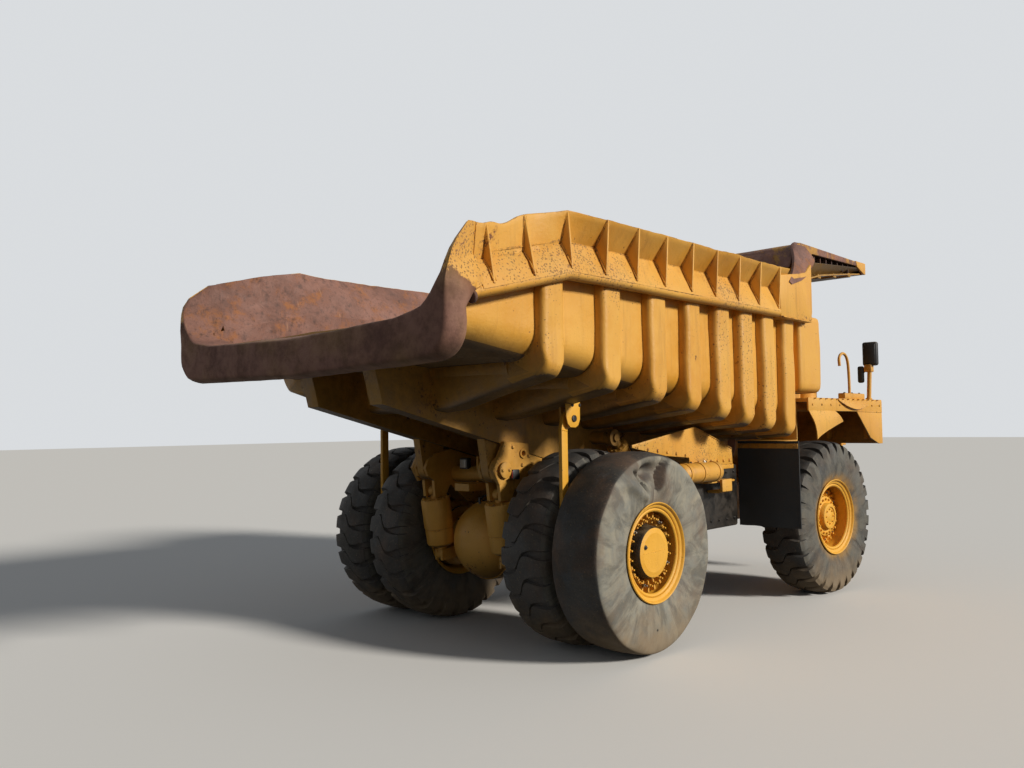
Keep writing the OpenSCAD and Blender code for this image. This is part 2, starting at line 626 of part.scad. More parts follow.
canopy_x = 1900;
roof_root_y = body_front_y + 400;
canopy_tip_y = body_front_y - canopy_reach;
front_t = 80;
wall_half = inner_x - seat_gap;
wedge_top_z = post_bottom_z - seat_gap;
module body_front_wall() color(rust) {
  plate_yz([[floor_front_y - 80, post_bottom_z], [body_front_y, post_bottom_z], [body_front_y, wall_top_z],
    [body_front_y + front_t, wall_top_z], [body_front_y + front_t, post_bottom_z + 80], [floor_front_y - 60, post_bottom_z + 80]],
    -wall_half, wall_half);
  plate_yz([[floor_front_y, floor_at(floor_front_y)], [floor_front_y - 80, post_bottom_z], [floor_front_y - 80, post_bottom_z + 80],
    [floor_front_y - 60, post_bottom_z + 80], [floor_front_y, post_bottom_z]], -wall_half, wall_half);
  // Wedges that close the corners under the wide posts
  both() plate_yz([[floor_front_y - seat_gap, floor_at(floor_front_y)], [floor_front_y - 80, wedge_top_z],
    [floor_front_y - seat_gap, wedge_top_z]], wall_half - 10, panel_x);
}

canopy_t = 50;
canopy_in_x = canopy_x - 30;
module body_canopy() color(rust) {
  plate_yz([[canopy_tip_y + 40 + seat_gap, canopy_z - canopy_t], [canopy_tip_y + 40 + seat_gap, canopy_z], [roof_root_y - 110, canopy_z],
    [roof_root_y + 60, canopy_z - 60], [roof_root_y + 60, canopy_z - 110], [roof_root_y - 120, canopy_z - canopy_t]],
    -canopy_in_x + seat_gap, canopy_in_x - seat_gap);
  // Rise of the front wall up to the roof
  plate_yz([[body_front_y, wall_top_z + seat_gap], [body_front_y, canopy_z - canopy_t - seat_gap],
    [body_front_y + front_t, canopy_z - canopy_t - seat_gap], [body_front_y + front_t, wall_top_z + seat_gap]], -inner_x, inner_x);
  block([-canopy_in_x + seat_gap, canopy_tip_y, canopy_z - 170], [canopy_in_x - seat_gap, canopy_tip_y + 40, canopy_z]);
  both() {
    // Side plate with its long slot
    difference() {
      plate_yz([[canopy_tip_y, canopy_z - 170], [canopy_tip_y, canopy_z], [roof_root_y - 110, canopy_z],
        [roof_root_y + 60, canopy_z - 60], [roof_root_y + 180, corner_top_z + 5], [body_front_y, corner_top_z + 5],
        [body_front_y - 20, board_top_z + 25]], canopy_in_x, canopy_x);
      plate_yz([[canopy_tip_y + 420, canopy_z - 100], [canopy_tip_y + 420, canopy_z - 50], [body_front_y - 100, canopy_z - 50],
        [body_front_y - 100, canopy_z - 160]], canopy_in_x - 1, canopy_x + 1);
    }
    // Wing plate that folds from the roof down to the side's corner
    plate_yz([[corner_front_y, corner_top_z + seat_gap], [corner_front_y + 330, corner_top_z + seat_gap],
      [roof_root_y + 250, canopy_z - 60], [roof_root_y - 80, canopy_z]], canopy_x + seat_gap, canopy_x + 100);
  }
}

sill_gap = 10;
sill_half = rail_w / 2 - 8;
beam_back_y = rear_y + 2250;
beam_front_y = rear_y - 2900;
module body_beam() {
  plate_yz([[beam_front_y, rail_top_z + sill_gap], [kick_y, rail_top_z + sill_gap], [beam_back_y, saddle_at(beam_back_y) + sill_gap],
    [beam_back_y + 200, 3200], [beam_front_y, 3200]], rail_x - sill_half, rail_x + sill_half);
  // Ear around the pivot pin
  plate_yz([[pivot_y - 130, pivot_z], [pivot_y + 130, pivot_z], [pivot_y + 200, 2200], [pivot_y - 200, 2200]],
    rail_x - 50, rail_x + 50);
  bar_x([pivot_y, pivot_z], 130, rail_x - 50, rail_x + 50);
  // Boss beside the eye of the hoist's rod
  bar_x(hoist_head, hoist_pin_r + 30, rail_x + sill_half + seat_gap, hoist_x - hoist_boss_gap);
}
cheek_x = [dual_mid_x - 57, dual_mid_x + 32];
module body_underframe() color(yellow) difference() {
  both() {
    body_beam();
    // Floor ribs, in three lengths between and beside the beams
    for (y = rib_ys, x = [[0, rail_x - sill_half - seat_gap], [rail_x + sill_half + seat_gap, floor_half]]) difference() {
      bar_x([y, floor_at(y)], rib_r, x[0] > 0 ? x[0] : -1, x[1]);
      for (c = cheek_x) block([c - seat_gap, ejector_at[0] - 140, 1500], [c + 25 + seat_gap, ejector_at[0] + 100, 3000]);
    }
    // Cheeks that hold the rock ejector
    for (x = cheek_x) plate_yz([[ejector_at[0] - 90, ejector_at[1] - 60],
      [ejector_at[0] + 60, ejector_at[1] - 60], [ejector_at[0] + 90, 2700], [ejector_at[0] - 130, 2700]], x, x + 25);
    bar_x(ejector_at, ejector_pin_r, cheek_x[0], cheek_x[1] + 25);
  }
  above_floor(0);
  both() bar_x([pivot_y, pivot_z], pivot_pin_r + 0.05, 0, far);
  block([-far, -far, 0], [far, floor_front_y - 1, far]);
}

ejector_at = [rear_y + 600, 2310];
ejector_pin_r = 22;
module ejector(side) translate([side * dual_mid_x, 0, 0]) difference() {
  union() {
    block([-25, ejector_at[0] - 65, 1250], [25, ejector_at[0] + 65, ejector_at[1]]);
    bar_x(ejector_at, 65, -25, 25);
  }
  bar_x(ejector_at, ejector_pin_r + 0.05, -30, 30);
}
module ejector_right() color(yellow) ejector(-1);
module ejector_left() color(yellow) ejector(1);

/* Hoist cylinders */

hoist_len = norm(hoist_head - hoist_base);
hoist_angle = atan2(hoist_head[1] - hoist_base[1], hoist_head[0] - hoist_base[0]);
barrel_r = 105;
rod_r = 62;
hoist_eye_half = 50;
hoist_boss_gap = rod_r + 7;
module along_hoist(side) translate([side * hoist_x, hoist_base[0], hoist_base[1]]) rotate([hoist_angle - 90, 0, 0]) children();
module hoist_barrel(side) along_hoist(side) difference() {
  union() {
    translate([0, 0, 110]) cylinder(r = barrel_r, h = hoist_len - 240);
    translate([-60, 0, 0]) rotate([0, 90, 0]) cylinder(r = 90, h = 120);
    block([-60, -70, 0], [60, 70, 140]);
  }
  translate([0, 0, 190]) cylinder(r = rod_r + 0.05, h = hoist_len);
  translate([-70, 0, 0]) rotate([0, 90, 0]) cylinder(r = hoist_pin_r + 0.05, h = 140);
}
module hoist_rod() along_hoist(1) {
  translate([0, 0, 200]) cylinder(r = rod_r, h = hoist_len - 260);
  translate([-hoist_eye_half, 0, hoist_len]) rotate([0, 90, 0]) cylinder(r = 95, h = 2 * hoist_eye_half);
  // Pin that stays in the eye, its end against the body's boss
  translate([seat_gap - hoist_boss_gap, 0, hoist_len]) rotate([0, 90, 0])
    cylinder(r = hoist_pin_r, h = hoist_boss_gap + hoist_eye_half + 25);
}
module hoist_barrel_right() color(yellow) hoist_barrel(-1);
module hoist_barrel_left() color(yellow) hoist_barrel(1);
module hoist_rod_right() color("silver") mirror([1, 0, 0]) hoist_rod();
module hoist_rod_left() color("silver") hoist_rod();

/* Wheels */

spindle_r = 90;
// Turns a piece about its kingpin by the angle at which the truck was left
module steered(side) translate([side * kingpin_x, front_y, 0]) rotate([0, 0, -steer_rest]) translate([-side * kingpin_x, -front_y, 0])
  children();
module knuckle() {
  bar_z([kingpin_x, front_y], 110, axle_z - 190, 1299.7);
  bar_x([front_y, axle_z], spindle_r, kingpin_x, front_track_x - 80);
  plate_xz([[kingpin_x - 60, 900], [kingpin_x - 300, 900], [kingpin_x - 300, 960], [kingpin_x - 60, 960]], front_y + 60, front_y + 300);
  block([kingpin_x - 60, front_y - 60, 880], [kingpin_x + 60, front_y + 200, 980]);
}
module knuckle_right() color(yellow) steered(-1) mirror([1, 0, 0]) knuckle();
module knuckle_left() color(yellow) steered(1) knuckle();

bead_r = rim_r - 50;
rim_half = 270;
// A wheel's solid of revolution about X at a place, from a table of radius and axial place
module turned(points, x, y, side) translate([side * x, y, axle_z]) rotate([0, side * 90, 0]) rotate_extrude($fn = 64) polygon(points);

function tyre_profile(r) = [
  [bead_r, -rim_half + 32], [rim_r + 20, -rim_half + 32], [rim_r + 90, -rim_half], [rim_r + 220, -tyre_w / 2],
  [r - 130, -tyre_w / 2], [r - 60, -tyre_w / 2 + 15], [r, -tyre_w / 2 + 70],
  [r, tyre_w / 2 - 70], [r - 60, tyre_w / 2 - 15], [r - 130, tyre_w / 2],
  [rim_r + 220, tyre_w / 2], [rim_r + 90, rim_half], [rim_r + 20, rim_half - 32], [bead_r, rim_half - 32]];
module tyre(x, y, side, r) turned(tyre_profile(r), x, y, side);

// Rim barrel with a flange at each end
rim_profile = [
  [bead_r - 30, -rim_half], [rim_r, -rim_half], [rim_r, -rim_half + 30], [bead_r, -rim_half + 30],
  [bead_r, rim_half - 30], [rim_r, rim_half - 30], [rim_r, rim_half], [bead_r - 30, rim_half]];
module rim(x, y, side) turned(rim_profile, x, y, side);

// Hub with its bore, radius and axial place from the wheel's centre plane
function front_hub_profile() = [
  [spindle_r + 0.05, -260], [260, -260], [260, -60], [bead_r - 15, -60], [bead_r - 15, 40], [300, 60],
  [280, 150], [200, 190], [0, 200], [0, 0], [spindle_r + 0.05, 0]];
module front_rim(side) steered(side) {
  rim(front_track_x, front_y, side);
  turned(front_hub_profile(), front_track_x, front_y, side);
}
function rear_hub_profile() = [
  [axle_arm_r + 0.05, -880], [300, -880], [300, -400], [bead_r - 15, inner_track_x + rim_half - rear_track_x], [bead_r - 15, 100], [330, 120], [330, 170],
  [245, 200], [245, 235], [0, 235], [0, inner_track_x - rear_track_x + 1], [axle_arm_r + 0.05, inner_track_x - rear_track_x + 1]];
module rear_rims(side) {
  rim(rear_track_x, rear_y, side);
  rim(inner_track_x, rear_y, side);
  turned(rear_hub_profile(), rear_track_x, rear_y, side);
}
module front_rim_right() color(yellow) front_rim(-1);
module front_rim_left() color(yellow) front_rim(1);
module front_tyre_right() color(black) steered(-1) tyre(front_track_x, front_y, -1, tyre_r);
module front_tyre_left() color(black) steered(1) tyre(front_track_x, front_y, 1, tyre_r);
module rear_rims_right() color(yellow) rear_rims(-1);
module rear_rims_left() color(yellow) rear_rims(1);
module rear_tyres_right() color(black) {
  tyre(rear_track_x, rear_y, -1, bald_r);
  tyre(inner_track_x, rear_y, -1, tyre_r);
}
module rear_tyres_left() color(black) {
  tyre(rear_track_x, rear_y, 1, tyre_r);
  tyre(inner_track_x, rear_y, 1, tyre_r);
}

frame();
bumper();
radiator_grille();
engine_hood();
engine_block();
right_deck();
left_deck();
handrails();
cab_shell();
cab_glass();
cab_interior();
cab_door();
cab_door_glass();
mirrors();
lamps();
air_cleaners();
front_struts();
rear_axle();
rear_struts();
fuel_tank();
hydraulic_tank();
air_tank();
mud_flaps();
body_floor();
body_side_right();
body_side_left();
body_front_wall();
body_canopy();
body_underframe();
ejector_right();
ejector_left();
hoist_barrel_right();
hoist_barrel_left();
hoist_rod_right();
hoist_rod_left();
knuckle_right();
knuckle_left();
front_rim_right();
front_rim_left();
front_tyre_right();
front_tyre_left();
rear_rims_right();
rear_rims_left();
rear_tyres_right();
rear_tyres_left();
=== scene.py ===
"""Worn off-highway dump truck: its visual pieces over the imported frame, with one operator for each group."""

import math
from functools import partial

import bmesh
import bpy
from mathutils import Matrix, Vector, noise


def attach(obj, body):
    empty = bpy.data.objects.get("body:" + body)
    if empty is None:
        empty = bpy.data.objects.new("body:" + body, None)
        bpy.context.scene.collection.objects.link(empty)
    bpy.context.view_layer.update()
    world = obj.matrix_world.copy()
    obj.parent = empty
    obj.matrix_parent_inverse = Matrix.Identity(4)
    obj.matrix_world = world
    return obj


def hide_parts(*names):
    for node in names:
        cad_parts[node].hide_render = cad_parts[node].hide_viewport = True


bl_info = {
    "name": "Worn dump truck",
    "version": (1, 0, 0),
    "blender": (4, 5, 0),
    "location": "3D View > Sidebar > Dump Truck",
    "description": "Builds the truck's visual pieces, materials and stage around its packed frame",
    "category": "Object",
}

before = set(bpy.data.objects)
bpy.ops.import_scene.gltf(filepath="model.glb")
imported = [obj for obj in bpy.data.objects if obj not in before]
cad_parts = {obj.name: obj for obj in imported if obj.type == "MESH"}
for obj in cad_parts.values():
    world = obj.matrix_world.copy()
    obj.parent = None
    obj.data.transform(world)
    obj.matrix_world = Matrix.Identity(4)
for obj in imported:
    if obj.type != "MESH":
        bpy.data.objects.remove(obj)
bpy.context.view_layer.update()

# Sizes in metres, the same values as in the part's source
REAR_Y = 1.65
FRONT_Y = -2.55
AXLE_Z = 1.0
TRACK_FRONT = 1.72
TRACK_REAR = 1.705
TRACK_INNER = 1.05
DECK_IN_X = 0.622
DECK_OUT_X = 2.045
STRUT_X = 0.5
STRUT_FOOT = Vector((0, 2.21, 0.83))
STRUT_TOP = Vector((0, 2.33, 1.54))
HINGE_Y = 2.40
HINGE_Z = 1.80
HOIST_X = 0.85
HOIST_BASE = (-0.55, 0.75)
HOIST_HEAD = (0.85, 2.10)
EJECTOR_X = 1.3775
EJECTOR_PIN = (2.25, 2.31)
KINGPIN_X = 1.18
STEER_REST = math.radians(4)
PANEL_X = 1.86
INNER_X = 1.82
FLOOR_HALF = 1.6
BEND_R = 0.26
RIB_R = 0.165
SLOPE = math.tan(math.radians(7.4))
FLOOR_Z = 2.58
BEAM_X = 2.05
BEAM_Z = 3.535
DROP_Y = 3.05
DROP = math.tan(math.radians(13.8))
RIB_YS = [REAR_Y + d for d in (1.53, 0.705, -0.045, -0.695, -1.3, -1.825, -2.35, -2.865)]
BODY_FRONT_Y = -2.13
WRAP_Y = 4.23
LIP_TOP_Z = 3.125


# Small helpers


def rgb(code):
    """Linear colour of an sRGB hex code."""
    v = [int(code[i : i + 2], 16) / 255 for i in (1, 3, 5)]
    return [c / 12.92 if c <= 0.04045 else ((c + 0.055) / 1.055) ** 2.4 for c in v] + [1.0]


def lerp(a, b, t):
    return a + (b - a) * t


def smooth(a, b, x):
    """0 below a, 1 above b, eased in between."""
    t = min(1.0, max(0.0, (x - a) / (b - a)))
    return t * t * (3 - 2 * t)


def bump(x, width):
    """A smooth hill around 0."""
    return math.exp(-((x / width) ** 2))


def wobble(p, scale, seed=0.0):
    """Smooth noise from -1 to 1 at a point."""
    return noise.noise(Vector((p[0] * scale + seed, p[1] * scale - seed, p[2] * scale + 2 * seed)))


def curve_points(points, per_span):
    """Points on a smooth curve through the given ones."""
    n = len(points)
    out = []
    for i in range(n - 1):
        a, b, c, d = (Vector(points[min(n - 1, max(0, i + k))]) for k in (-1, 0, 1, 2))
        for s in range(per_span):
            t = s / per_span
            bend = (2 * a - 5 * b + 4 * c - d) * t * t + (3 * b - a - 3 * c + d) * t**3
            out.append(0.5 * (2 * b + (c - a) * t + bend))
    out.append(Vector(points[-1]))
    return out


def floor_at(y):
    """Height of the body's lower corner at a place along the truck."""
    return FLOOR_Z + (y - REAR_Y) * SLOPE


def rail_at(y):
    """Height of the long rail's middle."""
    return BEAM_Z - max(0.0, y - DROP_Y) * DROP


# Mesh building


class Piece:
    """One visual piece. Each part is shaped by bmesh operators, gets the finish in use and joins the mesh."""

    def __init__(self, name, finish, body="chassis", slot="yellow_paint"):
        self.name, self.body, self.slot = name, body, slot
        self.mesh = bpy.data.meshes.new(name)
        self.bm = bmesh.new()
        self.mats = []
        self.use(finish)

    def use(self, finish):
        """Sets the finish of the parts that follow."""
        if finish not in self.mats:
            self.mats.append(finish)
        self.current = self.mats.index(finish)
        return self

    def take(self, part, pick=None):
        """Adds a finished part; pick() may name another finish for a face from its middle and normal."""
        bmesh.ops.recalc_face_normals(part, faces=part.faces)
        if part.calc_volume(signed=True) < 0:
            bmesh.ops.reverse_faces(part, faces=part.faces)
        part.normal_update()
        for f in part.faces:
            f.smooth = True
            f.material_index = self.current
            other = pick(f.calc_center_median(), f.normal) if pick else None
            if other:
                if other not in self.mats:
                    self.mats.append(other)
                f.material_index = self.mats.index(other)
        part.to_mesh(self.mesh)
        part.free()
        self.bm.from_mesh(self.mesh)

    def loft(self, sections, closed=False, pick=None):
        """A skin through closed sections of equal length, filled at its ends or closed into a ring."""
        part = bmesh.new()
        nu, nv = len(sections[0]), len(sections)
        lines = nv if closed else nv - 1
        for v in bmesh.ops.create_grid(part, x_segments=nu, y_segments=lines, size=1)["verts"]:
            i, j = round((v.co.x + 1) / 2 * nu), round((v.co.y + 1) / 2 * lines)
            v.co = sections[j % nv][i % nu]
        bmesh.ops.remove_doubles(part, verts=part.verts, dist=1e-6)
        if not closed:
            bmesh.ops.holes_fill(part, edges=[e for e in part.edges if e.is_boundary], sides=0)
        self.take(part, pick)

    def block(self, lo, hi, bevel=0.0, turn=None, seg=2):
        """A block between any two opposite corners with its edges rounded, turned about its middle."""
        part = bmesh.new()
        lo, hi = (Vector([pick(q) for q in zip(lo, hi)]) for pick in (min, max))
        m = Matrix.Translation((hi + lo) / 2) @ (turn or Matrix()) @ Matrix.Diagonal(hi - lo).to_4x4()
        bmesh.ops.create_cube(part, size=1.0, matrix=m)
        self.round_off(part, bevel, seg)
        self.take(part)

    def plate(self, outline, axis, a, b, bevel=0.004, pick=None):
        """A plate drawn across an axis, from a to b along it, with its edges rounded."""
        part = bmesh.new()
        a, b = sorted((a, b))
        spots = [(*q[:axis], a, *q[axis:]) for q in outline]
        verts = [part.verts.new(q) for q in spots]
        edges = [part.edges.new((verts[i - 1], verts[i])) for i in range(len(verts))]
        face = bmesh.ops.contextual_create(part, geom=edges)["faces"]
        grown = bmesh.ops.extrude_face_region(part, geom=face, use_keep_orig=True)["geom"]
        step = [0.0, 0.0, 0.0]
        step[axis] = b - a
        bmesh.ops.translate(part, verts=[g for g in grown if isinstance(g, bmesh.types.BMVert)], vec=step)
        self.round_off(part, bevel)
        self.take(part, pick)

    def round_off(self, part, size, segments=2, sharp=0.3):
        """Bevels the edges that turn by more than an angle."""
        edges = [e for e in part.edges if len(e.link_faces) == 2 and abs(e.calc_face_angle(0)) > sharp]
        if size:
            bmesh.ops.bevel(
                part, geom=edges, offset=size, segments=segments, profile=0.5, affect="EDGES",
                clamp_overlap=True, material=-1
            )

    def rod(self, a, b, r, r2=None, sides=16, bevel=0.0):
        """A round bar between two points."""
        part = bmesh.new()
        a, b = Vector(a), Vector(b)
        d = b - a
        m = Matrix.Translation((a + b) / 2) @ d.to_track_quat("Z", "Y").to_matrix().to_4x4()
        bmesh.ops.create_cone(
            part, cap_ends=True, segments=sides, radius1=r, radius2=r if r2 is None else r2, depth=d.length,
            matrix=m
        )
        self.round_off(part, bevel, 2, 1.1 if sides > 8 else 1.3)
        self.take(part)

    def tube(self, points, r, sides=10):
        """A round tube along points, without twist; r is one radius or one for each point."""
        pts = [Vector(p) for p in points]
        rings = []
        up = None
        for i, p in enumerate(pts):
            t = (pts[min(i + 1, len(pts) - 1)] - pts[max(i - 1, 0)]).normalized()
            up = up or t.orthogonal()
            up = (up - t * up.dot(t)).normalized()
            w = t.cross(up)
            rad = r[i] if isinstance(r, (list, tuple)) else r
            turn = [k * math.tau / sides for k in range(sides)]
            rings.append([p + rad * (math.cos(k) * up + math.sin(k) * w) for k in turn])
        self.loft(rings)

    def lathe(self, profile, to, segments=64, shape=None, pick=None):
        """Spins (axial, radial) points about an axis, lets shape() push them, and places them with to()."""
        part = bmesh.new()
        verts = [part.verts.new((a, r, 0)) for a, r in profile]
        edges = [part.edges.new(pair) for pair in zip(verts, verts[1:])]
        bmesh.ops.spin(
            part, geom=verts + edges, cent=(0, 0, 0), axis=(1, 0, 0), angle=math.tau, steps=segments,
            use_merge=True
        )
        bmesh.ops.remove_doubles(part, verts=part.verts, dist=2e-5)
        for v in part.verts:
            a, r = v.co.x, math.hypot(v.co.y, v.co.z)
            t = math.atan2(v.co.z, v.co.y) % math.tau
            v.co = to(*shape(a, r, t)) if shape else to(a, r, t)
        self.take(part, pick)

    def ring_bolts(self, to, a, rad, n, r, h, start=0.0):
        """A ring of bolts around an axis, at one place along it."""
        for k in range(n):
            t = math.tau * k / n + start
            self.bolt(to(a, rad, t), Vector(to(a + 1, rad, t)) - Vector(to(a, rad, t)), r, h)

    def bolt(self, at, way, r=0.014, h=0.014):
        """A hexagon head on a washer that stands on a face along a direction."""
        at, way = Vector(at), Vector(way).normalized()
        self.rod(at - way * 0.003, at + way * h * 0.3, r * 1.4, sides=10)
        self.rod(at + way * h * 0.2, at + way * h, r, sides=6, bevel=r * 0.12)

    def bolts(self, a, b, n, way, r=0.014, h=0.014):
        """A straight row of bolts from one point to another."""
        for i in range(n):
            self.bolt(Vector(a).lerp(Vector(b), i / max(1, n - 1)), way, r, h)

    def weld(self, points, r=0.007):
        """A weld bead along points, with its ripples."""
        pts = curve_points(points, 4)
        self.tube(pts, [r * (1 + 0.22 * math.sin(i * 2.1)) for i in range(len(pts))], 6)

    def done(self, *replaced, sharp=40.0, wear=None):
        """Makes the object, creased where faces meet sharply; wear() may give each point a paint loss."""
        limit = math.radians(sharp)
        for e in self.bm.edges:
            e.smooth = not (len(e.link_faces) == 2 and e.calc_face_angle(0) > limit)
        self.bm.to_mesh(self.mesh)
        self.bm.free()
        for finish in self.mats:
            self.mesh.materials.append(FINISHES[finish])
        if wear:
            layer = self.mesh.attributes.new("wear", "FLOAT", "POINT")
            for v in self.mesh.vertices:
                layer.data[v.index].value = wear(v.co)
        obj = bpy.data.objects.new(self.name, self.mesh)
        bpy.context.scene.collection.objects.link(obj)
        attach(obj, self.body)
        if replaced:
            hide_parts(*replaced)
        return obj


def wheel_place(side, x, y, steer=0.0):
    """Function from a wheel's (axial, radial, angle) to a point of the truck."""
    pivot = Vector((side * KINGPIN_X, y, 0))
    m = Matrix.Translation(pivot) @ Matrix.Rotation(-steer, 4, "Z") @ Matrix.Translation(-pivot)

    def to(a, r, t):
        return m @ Vector((side * (x + a), y + r * math.cos(t), AXLE_Z + r * math.sin(t)))

    return to


# Finishes

CHALK = rgb("#cda768")
DUST = rgb("#a58a63")
RUST_DARK = rgb("#3c241b")
RUST_MID = rgb("#7a4630")
RUST_STAIN = rgb("#96601f")
# Dark brown for dirt and painted shade on what faces down
UNDER_GRIME_AND_SHADE = rgb("#3a2a14")

FINISHES = {}


def per_metre(size_mm):
    """Pattern scale that gives features of a size in millimetres."""
    return 1000.0 / size_mm


USUAL_SETTINGS = {
    "MapRange": {"interpolation_type": "SMOOTHSTEP"},
    "Mix": {"data_type": "RGBA"},
    "Bevel": {"samples": 4},
}
USUAL_OUTPUT = {"Mix": 2}


def add_node(tree, kind, inputs, output=None, **settings):
    """Adds a node with its settings and links, and gives one of its outputs."""
    node = tree.nodes.new("ShaderNode" + kind)
    for key, value in {**USUAL_SETTINGS.get(kind, {}), **settings}.items():
        setattr(node, key, value)
    for key, value in inputs.items():
        if isinstance(value, bpy.types.NodeSocket):
            tree.links.new(value, node.inputs[key])
        else:
            node.inputs[key].default_value = value
    if not node.outputs:
        return None
    return node.outputs[USUAL_OUTPUT.get(kind, 0) if output is None else output]


def start_finish(name):
    """A new empty material, and the function that adds nodes to it."""
    material = bpy.data.materials.new(name)
    material.use_nodes = True
    material.node_tree.nodes.clear()
    return material, partial(add_node, material.node_tree)


def lay_surface(add, looks, height, strength, distance, soft_edges=0.0):
    """Ends a material: relief from a height, edges that look rounded, and the shader."""
    relief = {"Height": height, "Strength": strength, "Distance": distance}
    if soft_edges:
        relief["Normal"] = add("Bevel", {"Radius": soft_edges})
    shader = add("BsdfPrincipled", {"Normal": add("Bump", relief), "Metallic": 0.0, **looks})
    add("OutputMaterial", {"Surface": shader})


def seen_directly(add):
    """1 for the camera's rays and for those that metal and glass send to the background."""
    seen = [add("LightPath", {}, "Is %s Ray" % way) for way in ("Camera", "Glossy", "Transmission")]
    first = add("Math", {0: seen[0], 1: seen[1]}, operation="MAXIMUM")
    return add("Math", {0: first, 1: seen[2]}, operation="MAXIMUM")


